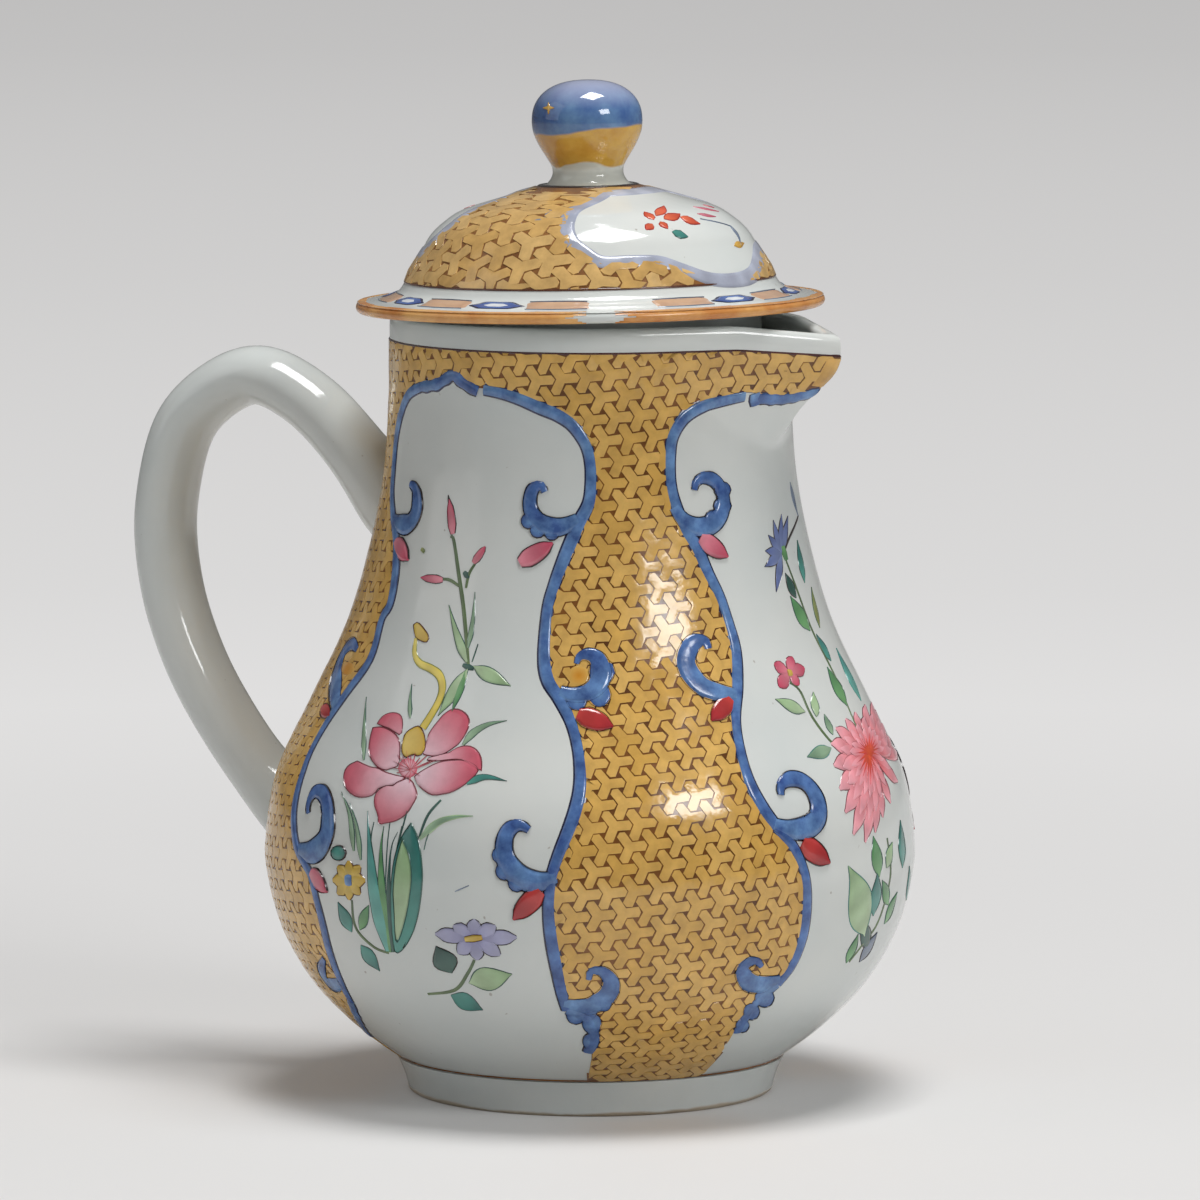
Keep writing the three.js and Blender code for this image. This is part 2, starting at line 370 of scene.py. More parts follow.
class Nodes:
    """A material's node tree, with short calls for its nodes and links."""

    def __init__(self, name: str) -> None:
        """Starts a material that holds one Principled shader.

        Args:
            name: The material's name.
        """
        self.material = bpy.data.materials.new(name)
        self.material.use_nodes = True
        self.tree = self.material.node_tree
        self.shader = self.tree.nodes["Principled BSDF"]
        self.place = self.add("ShaderNodeTexCoord").outputs["Object"]

    def add(self, kind: str, **settings: object) -> bpy.types.Node:
        """Adds a node and sets its properties.

        Args:
            kind: The node's type.
            **settings: Its properties by name.

        Returns:
            The node.
        """
        node = self.tree.nodes.new(kind)
        for key, value in settings.items():
            setattr(node, key, value)
        return node

    def link(self, source: Socket, target: Socket) -> None:
        """Links an output to an input."""
        self.tree.links.new(source, target)

    def noise(self, scale: float, detail: float = 2, rough: float = 0.5) -> Socket:
        """Noise on Object coordinates.

        Args:
            scale: Waves in a metre.
            detail: Finer layers.
            rough: Weight of the finer layers.

        Returns:
            The noise's value, from 0 to 1.
        """
        node = self.add("ShaderNodeTexNoise")
        node.inputs["Scale"].default_value = scale
        node.inputs["Detail"].default_value = detail
        node.inputs["Roughness"].default_value = rough
        self.link(self.place, node.inputs["Vector"])
        return node.outputs["Fac"]

    def spread(
        self,
        source: Socket,
        low: Pair,
        high: Pair,
    ) -> Socket:
        """Maps a value, where low and high are (from, to) pairs, and clamps it.

        Args:
            source: The value.
            low: The lower pair.
            high: The upper pair.

        Returns:
            The mapped value.
        """
        node = self.add("ShaderNodeMapRange")
        node.inputs["From Min"].default_value = low[0]
        node.inputs["To Min"].default_value = low[1]
        node.inputs["From Max"].default_value = high[0]
        node.inputs["To Max"].default_value = high[1]
        self.link(source, node.inputs["Value"])
        return node.outputs["Result"]

    def blended(
        self,
        share: Socket,
        first: Socket | Sequence[float],
        second: Socket | Sequence[float],
        how: str = "MIX",
    ) -> Socket:
        """Mixes two colours.

        Args:
            share: How much of the second.
            first: A colour, or a socket that gives one.
            second: A colour, or a socket that gives one.
            how: The kind of mix.

        Returns:
            The mixed colour.
        """
        node = self.add("ShaderNodeMix", data_type="RGBA", blend_type=how)
        self.link(share, node.inputs["Factor"])
        for socket, value in ((node.inputs["A"], first), (node.inputs["B"], second)):
            if isinstance(value, Socket):
                self.link(value, socket)
            else:
                socket.default_value = value
        return node.outputs["Result"]

    def bump(self, height: Socket, depth: float) -> None:
        """Raises the surface by a height map, with a depth in millimetres.

        Args:
            height: The map, from 0 to 1.
            depth: The depth.
        """
        node = self.add("ShaderNodeBump")
        node.inputs["Distance"].default_value = depth * MM
        self.link(height, node.inputs["Height"])
        self.link(node.outputs["Normal"], self.shader.inputs["Normal"])


@dataclass(frozen=True)
class PorcelainGlaze:
    """Clear glaze over white porcelain, faintly blue-grey where it lies thick."""

    name: str = "porcelain_glaze"
    thin: Colour = (213, 215, 211)
    thick: Colour = (203, 208, 206)

    def build(self) -> Finish:
        """Makes the material.

        Returns:
            The material.
        """
        nodes = Nodes(self.name)
        cloud = nodes.spread(nodes.noise(34, 4), (0.35, 0.0), (0.65, 1.0))
        white = nodes.blended(cloud, linear(self.thin), linear(self.thick))
        fleck = nodes.spread(nodes.noise(900, 1), (0.79, 0.0), (0.83, 0.5))
        flecked = nodes.blended(fleck, white, linear((120, 104, 84)))
        nodes.link(flecked, nodes.shader.inputs["Base Color"])
        gloss = nodes.spread(nodes.noise(60, 3), (0.3, 0.07), (0.7, 0.12))
        nodes.link(gloss, nodes.shader.inputs["Roughness"])
        nodes.shader.inputs["IOR"].default_value = 1.52
        nodes.bump(nodes.noise(170, 2, 0.6), 0.05)
        return nodes.material


@dataclass(frozen=True)
class Enamel:
    """Glossy enamel whose colour follows each point's tint."""

    name: str
    mottle: float = 0.16
    deep: Colour = (70, 52, 46)
    roughness: Pair = (0.08, 0.2)
    ripple: float = 0.03  # depth in millimetres

    def build(self) -> Finish:
        """Makes the material.

        Returns:
            The material.
        """
        nodes = Nodes(self.name)
        tint = nodes.add("ShaderNodeAttribute", attribute_name=TINT).outputs["Color"]
        mottled = nodes.spread(nodes.noise(420, 4, 0.6), (0.3, 0.0), (0.7, self.mottle))
        shade = nodes.blended(mottled, tint, linear(self.deep), "MULTIPLY")
        nodes.link(shade, nodes.shader.inputs["Base Color"])
        gloss = nodes.spread(nodes.noise(260, 2), (0.3, self.roughness[0]), (0.7, self.roughness[1]))
        nodes.link(gloss, nodes.shader.inputs["Roughness"])
        nodes.shader.inputs["IOR"].default_value = 1.62
        nodes.bump(nodes.noise(700, 2), self.ripple)
        return nodes.material


@dataclass(frozen=True)
class PlainEnamel:
    """Glossy enamel of one colour that varies a little."""

    name: str
    light: Colour
    deep: Colour
    roughness: Pair = (0.14, 0.26)
    ripple: float = 0.03  # depth in millimetres

    def build(self) -> Finish:
        """Makes the material.

        Returns:
            The material.
        """
        nodes = Nodes(self.name)
        cloud = nodes.spread(nodes.noise(150, 5, 0.6), (0.35, 0.0), (0.65, 1.0))
        nodes.link(
            nodes.blended(cloud, linear(self.light), linear(self.deep)),
            nodes.shader.inputs["Base Color"],
        )
        gloss = nodes.spread(nodes.noise(260, 2), (0.3, self.roughness[0]), (0.7, self.roughness[1]))
        nodes.link(gloss, nodes.shader.inputs["Roughness"])
        nodes.shader.inputs["IOR"].default_value = 1.55
        nodes.bump(nodes.noise(600, 2), self.ripple)
        return nodes.material


@dataclass(frozen=True)
class UnglazedFoot:
    """White glaze that stops short of the bare stand of the foot."""

    name: str = "foot_glaze"
    bare_height: float = 0.5  # millimetres up to which the clay is bare

    def build(self) -> Finish:
        """Makes the material.

        Returns:
            The material.
        """
        nodes = Nodes(self.name)
        height = nodes.add("ShaderNodeSeparateXYZ")
        nodes.link(nodes.place, height.inputs["Vector"])
        wobble = nodes.spread(nodes.noise(110, 3), (0.3, -0.25 * MM), (0.7, 0.35 * MM))
        level = nodes.add("ShaderNodeMath", operation="ADD")
        nodes.link(height.outputs["Z"], level.inputs[0])
        nodes.link(wobble, level.inputs[1])
        low, high = self.bare_height * MM, (self.bare_height + 0.3) * MM
        glazed = nodes.spread(level.outputs["Value"], (low, 0.0), (high, 1.0))
        cloud = nodes.spread(nodes.noise(60, 4), (0.35, 0.0), (0.65, 1.0))
        clay = nodes.blended(cloud, linear((196, 184, 166)), linear((158, 142, 120)))
        white = nodes.blended(cloud, linear((214, 217, 214)), linear((202, 208, 207)))
        nodes.link(nodes.blended(glazed, clay, white), nodes.shader.inputs["Base Color"])
        gloss = nodes.spread(glazed, (0.0, 0.75), (1.0, 0.1))
        nodes.link(gloss, nodes.shader.inputs["Roughness"])
        nodes.bump(nodes.noise(500, 3), 0.04)
        return nodes.material


@dataclass(frozen=True)
class PhotoView:
    """The camera that took the reference picture, round the pot's axis.

    Distance and height are in millimetres, the dip in radians, the azimuth in degrees
    and the rest in pixels of the picture.
    """

    axis_x: float
    distance: float = 1150.0
    height: float = 192.44
    dip: float = 0.10865
    azimuth: float = 26.0
    focal: float = 8676.2
    centre: Pair = (590.5, 590.1)
    frame: float = 1200.0

    def turn(self) -> Matrix:
        """The turn from the camera's own axes to the jug's."""
        return Matrix.Rotation(math.radians(self.azimuth), 3, "Z")

    def eye(self) -> Vector:
        """Where the camera stands, in metres."""
        local = Vector((0, -self.distance, self.height))
        return (self.turn() @ local + Vector((self.axis_x, 0, 0))) * MM

    def ray(self, pixel: Pair) -> Vector:
        """The direction in which the camera sees a pixel.

        Args:
            pixel: The pixel.

        Returns:
            A vector of length 1.
        """
        across = (pixel[0] - self.centre[0]) / self.focal
        down = (pixel[1] - self.centre[1]) / self.focal
        forward = Vector((0, math.cos(self.dip), -math.sin(self.dip)))
        below = Vector((0, -math.sin(self.dip), -math.cos(self.dip)))
        local = forward + Vector((across, 0, 0)) + below * down
        return (self.turn() @ local).normalized()

    def build(self) -> None:
        """Makes the scene's camera."""
        data = bpy.data.cameras.new("camera")
        data.sensor_width = 36.0
        data.sensor_fit = "HORIZONTAL"
        data.lens = self.focal * data.sensor_width / self.frame
        data.shift_x = 0.5 - self.centre[0] / self.frame
        data.shift_y = self.centre[1] / self.frame - 0.5
        camera = bpy.data.objects.new("camera", data)
        camera.location = self.eye()
        tilt = math.pi / 2 - self.dip
        camera.rotation_euler = (tilt, 0, math.radians(self.azimuth))
        bpy.context.scene.collection.objects.link(camera)
        bpy.context.scene.camera = camera


@dataclass
class PotForm:
    """The pot and beak as a surface round the pot's axis, in millimetres.

    A place on it is an angle from the beak and a level. The level is the height, but
    for the beak's rim, which droops a little towards its tip.
    """

    axis_x: float
    foot: float
    rim: float
    foot_radius: float = 25.6
    belly: float = 43.3
    neck: float = 26.7
    wall: float = 3.0
    floor: float = 3.4
    lip: float = 1.1
    beak_depth: float = 16.3
    beak_reach: float = 37.0
    beak_droop: float = 1.5
    beak_wall: float = 2.1
    keel_round: float = 0.014  # softening of the keel, in radians
    # Share of the height and of the swell, from the foot up.
    outline: tuple[Pair, ...] = (
        (0.045, 0.29), (0.1025, 0.6235), (0.173, 0.867), (0.245, 0.985),
        (0.295, 1.0), (0.384, 0.91), (0.4845, 0.6265), (0.585, 0.343),
        (0.685, 0.163), (0.786, 0.045), (0.886, 0.003), (0.96, 0.0), (1.0, 0.0),
    )
    # Share of the beak's depth and of its reach, from its root up.
    keel: tuple[Pair, ...] = (
        (0.0, 0.0), (0.147, 0.19), (0.344, 0.437), (0.546, 0.738),
        (0.66, 0.9), (0.79, 0.985), (0.9, 1.0), (1.0, 0.965),
    )
    side: Array = field(init=False)
    reach: Array = field(init=False)
    length: Array = field(init=False)

    def __post_init__(self) -> None:
        """Works out the fine outlines."""
        rise, swell = self.rim - self.foot, self.belly - self.neck
        stations = [(self.foot_radius, self.foot)]
        stations += [(self.neck + out * swell, self.foot + up * rise) for up, out in self.outline]
        self.side = smoothed(stations, 12)
        self.reach = smoothed(self.keel, 12)
        steps = np.linalg.norm(np.diff(self.side, axis=0), axis=1)
        self.length = np.concatenate([[0.0], np.cumsum(steps)])

    @property
    def root(self) -> float:
        """Level of the beak's root."""
        return self.rim - self.beak_depth

    def radius(self, level: Numbers) -> Numbers:
        """Radius of the turned pot at a level."""
        return np.interp(level, self.side[:, 1], self.side[:, 0])

    def arc(self, level: Numbers) -> Numbers:
        """Length along the outline from the foot up to a level."""
        return np.interp(level, self.side[:, 1], self.length)

    def level_at(self, arc: Numbers) -> Numbers:
        """The level that lies a length along the outline."""
        return np.interp(arc, self.length, self.side[:, 1])

    def keel_share(self, level: Numbers) -> Numbers:
        """How far up the beak a level is, from 0 at its root to 1 at its rim."""
        return np.clip((level - self.root) / self.beak_depth, 0, 1)

    def tip(self, level: Numbers, inset: float = 0.0) -> Numbers:
        """Reach of the keel at a level, less an inset of the wall."""
        out = np.interp(self.keel_share(level), self.reach[:, 0], self.reach[:, 1])
        return self.radius(level) + out * (self.beak_reach - self.neck) - inset * math.sqrt(2)

    def spread(self, level: Numbers) -> Numbers:
        """Angle from the keel to where the beak's side meets the neck."""
        radius = self.radius(level)
        return np.arccos(radius / np.maximum(self.tip(level), radius))

    def pinched(self, angle: Numbers, radius: Numbers, tip: Numbers) -> Numbers:
        """Radius of a circle that is drawn out to a tip by two straight sides.

        Args:
            angle: Angle from the keel.
            radius: The circle's radius.
            tip: The tip's reach.

        Returns:
            The radius at the angle.
        """
        spread = np.arccos(radius / np.maximum(tip, radius))
        turn = np.minimum(np.sqrt(angle * angle + self.keel_round ** 2), spread)
        return radius / np.cos(spread - turn)

    def place(self, angle: Numbers, level: Numbers, depth: Numbers = 0.0) -> tuple[Numbers, Numbers]:
        """Radius and height of a place in the pot's wall.

        Args:
            angle: Angle from the beak, in radians.
            level: Level on the outline.
            depth: 0 on the outside, 1 on the inside of the wall.

        Returns:
            Radius from the pot's axis, and height.
        """
        turn = np.abs(np.remainder(angle + math.pi, 2 * math.pi) - math.pi)
        radius, tip = self.radius(level), self.tip(level)
        outer = self.pinched(turn, radius, tip)
        beak_inner = self.pinched(turn, radius - self.wall, self.tip(level, self.beak_wall))
        inner = np.where(level > self.root, beak_inner, radius - self.wall)
        out = (outer * np.cos(turn) - radius) / np.maximum(tip - radius, 0.01)
        fall = self.beak_droop * self.keel_share(level) * np.clip(out, 0, 1)
        return outer + depth * (inner - outer), level - fall

    def spot(self, angle: Numbers, level: Numbers) -> Array:
        """A point on the outside, in millimetres from the pot's axis."""
        radius, height = self.place(angle, level)
        return np.stack([radius * np.cos(angle), radius * np.sin(angle), height], -1)

    def at(self, angle: Numbers, arc: Numbers, lift: Numbers = 0.0) -> Array:
        """A point on the outside, in metres.

        Args:
            angle: Angle from the beak, in radians.
            arc: Length along the outline, in millimetres.
            lift: Millimetres off the outside.

        Returns:
            The point's x, y and z.
        """
        level = self.level_at(arc)
        turn, rise = 0.004, 0.15
        right = self.spot(angle + turn, level) - self.spot(angle - turn, level)
        up = self.spot(angle, level + rise) - self.spot(angle, level - rise)
        normal = np.cross(right, up)
        normal /= np.linalg.norm(normal, axis=-1)[..., None]
        off = normal * np.asarray(lift)[..., None]
        return (self.spot(angle, level) + off + np.array([self.axis_x, 0, 0])) * MM

    def where(self, point: Vector) -> Pair:
        """The angle and the length of a point on the outside.

        Args:
            point: The point, in metres.

        Returns:
            The angle in radians and the length in millimetres.
        """
        x, y, height = point.x / MM - self.axis_x, point.y / MM, point.z / MM
        angle = math.atan2(y, x)
        level = height
        for _ in range(4):
            level += height - float(self.place(angle, level)[1])
        return angle, float(self.arc(level))


@dataclass
class Pot:
    """The pot and its luted beak, made as one wall and then parted at the joint."""

    form: PotForm
    turns: int = 192
    joint_angle: float = 48.0  # degrees from the keel

    def outline(self) -> list[Pair]:
        """The wall's outline: underside, outside, rim, inside and floor.

        Returns:
            (radius, height) points in millimetres.
        """
        form = self.form
        rise = np.arange(form.foot, form.rim - form.lip, 0.9)
        outside = [(form.radius(level), float(level)) for level in rise]
        middle = form.neck - form.wall / 2
        rim = []
        for step in range(11):
            turn = math.pi * step / 10
            squared = math.copysign(abs(math.cos(turn)) ** 0.7, math.cos(turn))
            lift = form.lip * (math.sin(turn) ** 0.8 - 1)
            rim.append((middle + form.wall / 2 * squared, form.rim + lift))
        inside = moved_out(form.side, -form.wall)
        floor = form.foot + form.floor
        kept = [(float(r), float(z)) for r, z in inside if floor + 1.2 < z < form.rim - form.lip - 0.4]
        kept.reverse()
        last = kept[-1][0]
        corner = [(last - 0.5, floor + 0.5), (last - 1.6, floor + 0.1)]
        return [(0.0, form.foot), *outside, *rim, *kept, *corner, (0.0, floor)]

    def build(self, glaze: Finish) -> Piece:
        """Makes the pot and the beak.

        Args:
            glaze: Their finish.

        Returns:
            The pot before it is parted, for finding places on its outside.
        """
        form = self.form
        whole = Bench.turned("pot_wall", self.outline(), self.turns)
        flat = np.empty(len(whole.data.vertices) * 3, np.float32)
        whole.data.vertices.foreach_get("co", flat)
        x, y, z = flat.reshape(-1, 3).T / MM
        radius, angle = np.hypot(x, y), np.arctan2(y, x)
        depth = np.clip((form.radius(z) - radius) / form.wall, 0, 1)
        drawn, fallen = form.place(angle, z, depth)
        radius = np.where(z > form.root, drawn, radius)
        height = np.where(z > form.root, fallen, z)
        spots = np.stack([radius * np.cos(angle) + form.axis_x, radius * np.sin(angle), height], 1)
        whole.data.vertices.foreach_set("co", (spots * MM).astype(np.float32).ravel())
        whole.data.update()
        Bench.smooth(whole)
        wedge = self.wedge()
        pot = Bench.copied(whole, "pot_body")
        Bench.cut(pot, wedge, "DIFFERENCE")
        beak = Bench.copied(whole, "beak_wall")
        Bench.cut(beak, wedge, "INTERSECT")
        bpy.data.objects.remove(wedge)
        for piece, node in ((pot, "pot"), (beak, "beak_lip")):
            Bench.smooth(piece)
            hand_in(piece, Body.JUG, glaze, [node])
        whole.hide_render = True
        return whole

    def wedge(self) -> Piece:
        """The space that the beak takes out of the neck.

        Returns:
            A wedge to cut with.
        """
        form = self.form
        near, far = form.neck - 2 * form.wall, form.beak_reach + 6
        turn = math.radians(self.joint_angle)
        low, high = form.root - 1.2, form.rim + 3
        rings = []
        for height in (low, high):
            ring = []
            for radius, angle in ((near, -turn), (far, -turn), (far, turn), (near, turn)):
                stretch = 1 if radius == near else 1 / math.cos(turn) * 0.85
                x = radius * stretch * math.cos(angle) + form.axis_x
                ring.append((x * MM, radius * stretch * math.sin(angle) * MM, height * MM))
            rings.append(ring)
        return Bench.lofted("wedge", np.array(rings))


@dataclass
class FootRing:
    """The foot ring, which narrows towards the table, in millimetres."""

    axis_x: float
    height: float = 4.8
    stand: float = 24.5
    top: float = 26.0
    width: float = 2.9
    edge: float = 0.7

    def build(self, glaze: Finish) -> None:
        """Makes the ring.

        Args:
            glaze: Its finish.
        """
        inner = self.stand - self.width
        corner = [
            (self.stand - self.edge * (1 - math.sin(turn)), self.edge * (1 - math.cos(turn)))
            for turn in np.linspace(0, math.pi / 2, 5)
        ]
        inner_corner = [
            (inner + self.edge * (1 - math.sin(turn)), self.edge * (1 - math.cos(turn)))
            for turn in np.linspace(math.pi / 2, 0, 5)
        ]
        spread, climb = self.top - self.stand, self.height - self.edge
        rise = [
            (self.stand + spread * share ** 1.3, self.edge + share * climb)
            for share in np.linspace(0.15, 1.0, 6)
        ]
        outline = [*corner, *rise, (self.top - 1.0, self.height + 0.3), (inner, self.height + 0.1)]
        outline += [(inner, 2.5), *inner_corner]
        ring = Bench.turned("foot_ring_glazed", outline, 192)
        ring.data.transform(Matrix.Translation((self.axis_x * MM, 0, 0)))
        Bench.smooth(ring)
        hand_in(ring, Body.JUG, glaze, ["foot_ring"])


@dataclass
class Handle:
    """The loop handle, oval in section and thicker where it is luted on, in millimetres."""

    form: PotForm
    reach: float = 68.5
    top: float = 98.3
    tail: float = 33.0
    thick: float = 8.0
    wide: float = 10.4
    flare: float = 1.3
    flare_length: float = 5.0
    sink: float = 1.2  # how deep its ends go into the pot's wall
    softness: int = 13  # steps over which its bends are evened out, an odd number
    # Share of its reach and of its height, from the neck to the tail.
    line: tuple[Pair, ...] = (
        (-0.14, 0.6), (0.02, 0.7), (0.17, 0.8), (0.33, 0.905), (0.47, 0.965),
        (0.64, 1.0), (0.83, 0.938), (0.94, 0.855), (0.995, 0.71), (1.0, 0.625),
        (0.985, 0.545), (0.95, 0.455), (0.865, 0.33), (0.745, 0.215),
        (0.63, 0.125), (0.53, 0.066), (0.4, 0.01), (0.2, -0.03),
    )

    def build(self, glaze: Finish) -> None:
        """Makes the handle.

        Args:
            glaze: Its finish.
        """
        form = self.form
        run = self.reach - self.thick / 2 - form.neck
        rise = self.top - self.thick / 2 - self.tail
        route = smoothed([(form.neck + out * run, self.tail + up * rise) for out, up in self.line], 8)
        soft = np.hanning(self.softness + 2)[1:-1]
        margin = self.softness // 2
        padded = np.pad(route, ((margin, margin), (0, 0)), mode="edge")
        route = np.stack([np.convolve(padded[:, k], soft / soft.sum(), "valid") for k in (0, 1)], 1)
        clear = np.array([out - form.radius(height) for out, height in route])
        kept = [i for i in range(len(route)) if clear[i] > -self.sink - 1.5]
        rings = []
        for i in kept:
            before, after = route[max(i - 1, 0)], route[min(i + 1, len(route) - 1)]
            along = (after - before) / np.linalg.norm(after - before)
            swell = self.flare * math.exp(-(max(0.0, clear[i]) / self.flare_length) ** 2)
            ring = []
            for turn in np.linspace(0, 2 * math.pi, 36, endpoint=False):
                deep = (self.thick / 2 + swell) * math.cos(turn)
                wide = (self.wide / 2 + swell / 2) * math.sin(turn)
                out = route[i][0] - along[1] * deep
                height = route[i][1] + along[0] * deep
                least = form.radius(height) - self.sink
                radial = math.hypot(out, wide)
                if radial < least:
                    out, wide = out * least / radial, wide * least / radial
                ring.append(((form.axis_x - out) * MM, wide * MM, height * MM))
            rings.append(ring)
        handle = Bench.lofted("loop_handle", np.array(rings))
        Bench.smooth(handle, 60)
        hand_in(handle, Body.JUG, glaze, ["handle"])


@dataclass
class CoverForm:
    """The cover's outside, in its own frame, in millimetres.

    Heights count from the brim's underside. The cover leans back a little on the rim.
    """

    axis_x: float
    seat: float = 104.2
    neck: float = 26.7
    lean: float = 1.15  # degrees, up towards the beak
    brim: float = 31.1
    brim_thick: float = 1.4
    dome: float = 24.7
    dome_height: float = 16.5
    dome_start: float = 3.8
    wall: float = 2.6
    mouth: float = 20.6  # radius of the hollow
    knob_base: float = 6.0
    # Share of the dome's radius and of its height.
    outline: tuple[Pair, ...] = (
        (1.0, 0.0), (0.972, 0.125), (0.931, 0.25), (0.891, 0.375),
        (0.85, 0.5), (0.781, 0.625), (0.676, 0.75), (0.466, 0.875),
    )
    # Share of the run and the rise between brim and dome.
    sweep: tuple[Pair, ...] = ((0.98, 0.0), (0.5, 0.15), (0.16, 0.48))
    side: Array = field(init=False)

    def __post_init__(self) -> None:
        """Works out the fine outline, from the brim's edge in to the knob."""
        run, lift = self.brim - self.dome, self.dome_start - self.brim_thick
        rise = self.dome_height - self.dome_start
        stations = [(self.dome + run * out, self.brim_thick + lift * up) for out, up in self.sweep]
        stations += [(self.dome * out, self.dome_start + rise * up) for out, up in self.outline]
        stations += [(self.knob_base, self.dome_height)]
        self.side = smoothed(stations, 8)

    def frame(self) -> Matrix:
        """The move from the cover's own frame, in metres, to its seat on the rim.

        Returns:
            The move.
        """
        hinge = Vector((self.axis_x - self.neck, 0, self.seat)) * MM
        lean = Matrix.Rotation(-math.radians(self.lean), 4, "Y")
        return Matrix.Translation(hinge) @ lean @ Matrix.Translation((self.neck * MM, 0, 0))

    def outside(self) -> "TurnedSide":
        """The outside, from the brim's edge in to the knob."""
        return TurnedSide(self.side, self.frame())


@dataclass
class TurnedSide:
    """The outside of a turned piece, by angles and lengths along its outline."""

    side: Array
    frame: Matrix
    length: Array = field(init=False)

    def __post_init__(self) -> None:
        """Works out lengths along a finer outline."""
        steps = np.linalg.norm(np.diff(self.side, axis=0), axis=1)
        length = np.concatenate([[0.0], np.cumsum(steps)])
        self.length = np.linspace(0, length[-1], int(length[-1] / 0.05))
        self.side = np.stack([np.interp(self.length, length, self.side[:, k]) for k in (0, 1)], 1)

    def outline_at(self, arc: Numbers) -> Array:
        """Radius and height at a length along the outline."""
        return np.stack([np.interp(arc, self.length, self.side[:, k]) for k in (0, 1)], -1)

    def at(self, angle: Numbers, arc: Numbers, lift: Numbers = 0.0) -> Array:
        """A point on the outside, in metres, for an angle, a length and a lift.

        Args:
            angle: Angle round the axis, in radians.
            arc: Length along the outline, in millimetres.
            lift: Millimetres off the outside.

        Returns:
            The point's x, y and z.
        """
        along = self.outline_at(arc + 0.15) - self.outline_at(arc - 0.15)
        along /= np.linalg.norm(along, axis=-1)[..., None]
        spot = self.outline_at(arc)
        radius = spot[..., 0] + along[..., 1] * lift
        height = spot[..., 1] - along[..., 0] * lift
        local = np.stack([radius * np.cos(angle), radius * np.sin(angle), height], -1) * MM
        move = np.array(self.frame)
        return local @ move[:3, :3].T + move[:3, 3]

    def where(self, point: Vector) -> Pair:
        """The angle and the length of a point on the outside.

        Args:
            point: The point, in metres.

        Returns:
            The angle in radians and the length in millimetres.
        """
        local = self.frame.inverted() @ point / MM
        gap = np.hypot(self.side[:, 0] - math.hypot(local.x, local.y), self.side[:, 1] - local.z)
        return math.atan2(local.y, local.x), float(self.length[np.argmin(gap)])


@dataclass
class Cover:
    """The cover: brim, concave sweep and dome, hollow underneath."""

    form: CoverForm

    def build(self, glaze: Finish) -> Piece:
        """Makes the cover and gives it back.

        Args:
            glaze: Its finish.

        Returns:
            The cover.
        """
        form = self.form
        hollow = moved_out(form.side, -form.wall)
        inside = [(float(r), float(z)) for r, z in hollow if form.knob_base < r < form.mouth and z > 1.5]
        inside.reverse()
        under = form.dome_height - form.wall
        half = form.brim_thick / 2
        edge = [
            (form.brim - half * (1 - math.sin(turn)), half * (1 - math.cos(turn)))
            for turn in np.linspace(0.15, math.pi - 0.25, 9)
        ]
        outside = [(float(r), float(z)) for r, z in form.side]
        outline = [(0.0, under), (form.knob_base, under), *inside, (form.mouth, 0.0), (form.mouth + 4, 0.0)]
        outline += [*edge, *outside, (0.0, form.dome_height)]
        cover = Bench.turned("domed_cover", outline, 192)
        cover.data.transform(form.frame())
        Bench.smooth(cover)
        return hand_in(cover, Body.LID, glaze, ["cover"])


@dataclass
class SeatRing:
    """The ring under the cover that drops into the neck, in millimetres."""

    form: CoverForm
    outer: float = 22.8
    width: float = 2.3
    depth: float = 7.0

    def build(self, glaze: Finish) -> None:
        """Makes the ring.

        Args:
            glaze: Its finish.
        """
        inner, low, edge = self.outer - self.width, -self.depth, 0.7
        outline = [(inner, 0.2), (inner, low + edge)]
        for turn in np.linspace(0, math.pi, 9):
            middle, half = self.outer - self.width / 2, self.width / 2
            outline.append((middle - half * math.cos(turn), low + edge * (1 - math.sin(turn))))
        outline.append((self.outer, 0.2))
        ring = Bench.turned("seat_ring_glazed", outline, 160)
        ring.data.transform(self.form.frame())
        Bench.smooth(ring)
        hand_in(ring, Body.LID, glaze, ["cover_seat_ring"])


@dataclass
class Knob:
    """The round knob on its waisted neck, in millimetres."""

    form: CoverForm
    radius: float = 7.35
    neck: float = 4.7
    base: float = 5.3
    height: float = 13.5
    widest: float = 0.59  # share of the height at which it is widest
    roundness: float = 2.35  # power of its rounding, where 2 is a ball
    # Share of the height and of the ball's swell.
    outline: tuple[Pair, ...] = (
        (0.045, 0.07), (0.09, 0.0), (0.158, 0.05), (0.257, 0.34), (0.355, 0.64), (0.485, 0.925),
    )

    def side(self) -> Array:
        """Its outside, from the base up to the top.

        Returns:
            (radius, height) points in millimetres.
        """
        foot, swell = self.form.dome_height + 0.3, self.radius - self.neck
        stations = [(self.base + 0.5, foot - 0.45), (self.base, foot)]
        stations += [(self.neck + out * swell, foot + up * self.height) for up, out in self.outline]
        middle, crown = foot + self.widest * self.height, (1 - self.widest) * self.height
        stations.append((self.radius, middle))
        power = 2 / self.roundness
        turns = np.linspace(0, math.pi / 2, 16)[1:]
        top = [
            (self.radius * max(0.0, math.cos(turn)) ** power, middle + crown * math.sin(turn) ** power)
            for turn in turns[:-1]
        ]
        return np.vstack([smoothed(stations, 6), top, [(0.0, middle + crown)]])

    def build(self, finish: Finish) -> Piece:
        """Makes the knob and gives it back.

        Args:
            finish: Its finish.

        Returns:
            The knob.
        """
        side = self.side()
        low = self.form.dome_height - 0.5
        outline = [(0.0, low), (self.base, low), *((float(r), float(z)) for r, z in side)]
        knob = Bench.turned("round_knob", outline, 96)
        knob.data.transform(self.form.frame())
        Bench.smooth(knob, 60)
        return hand_in(knob, Body.LID, finish, ["cover_knob"])


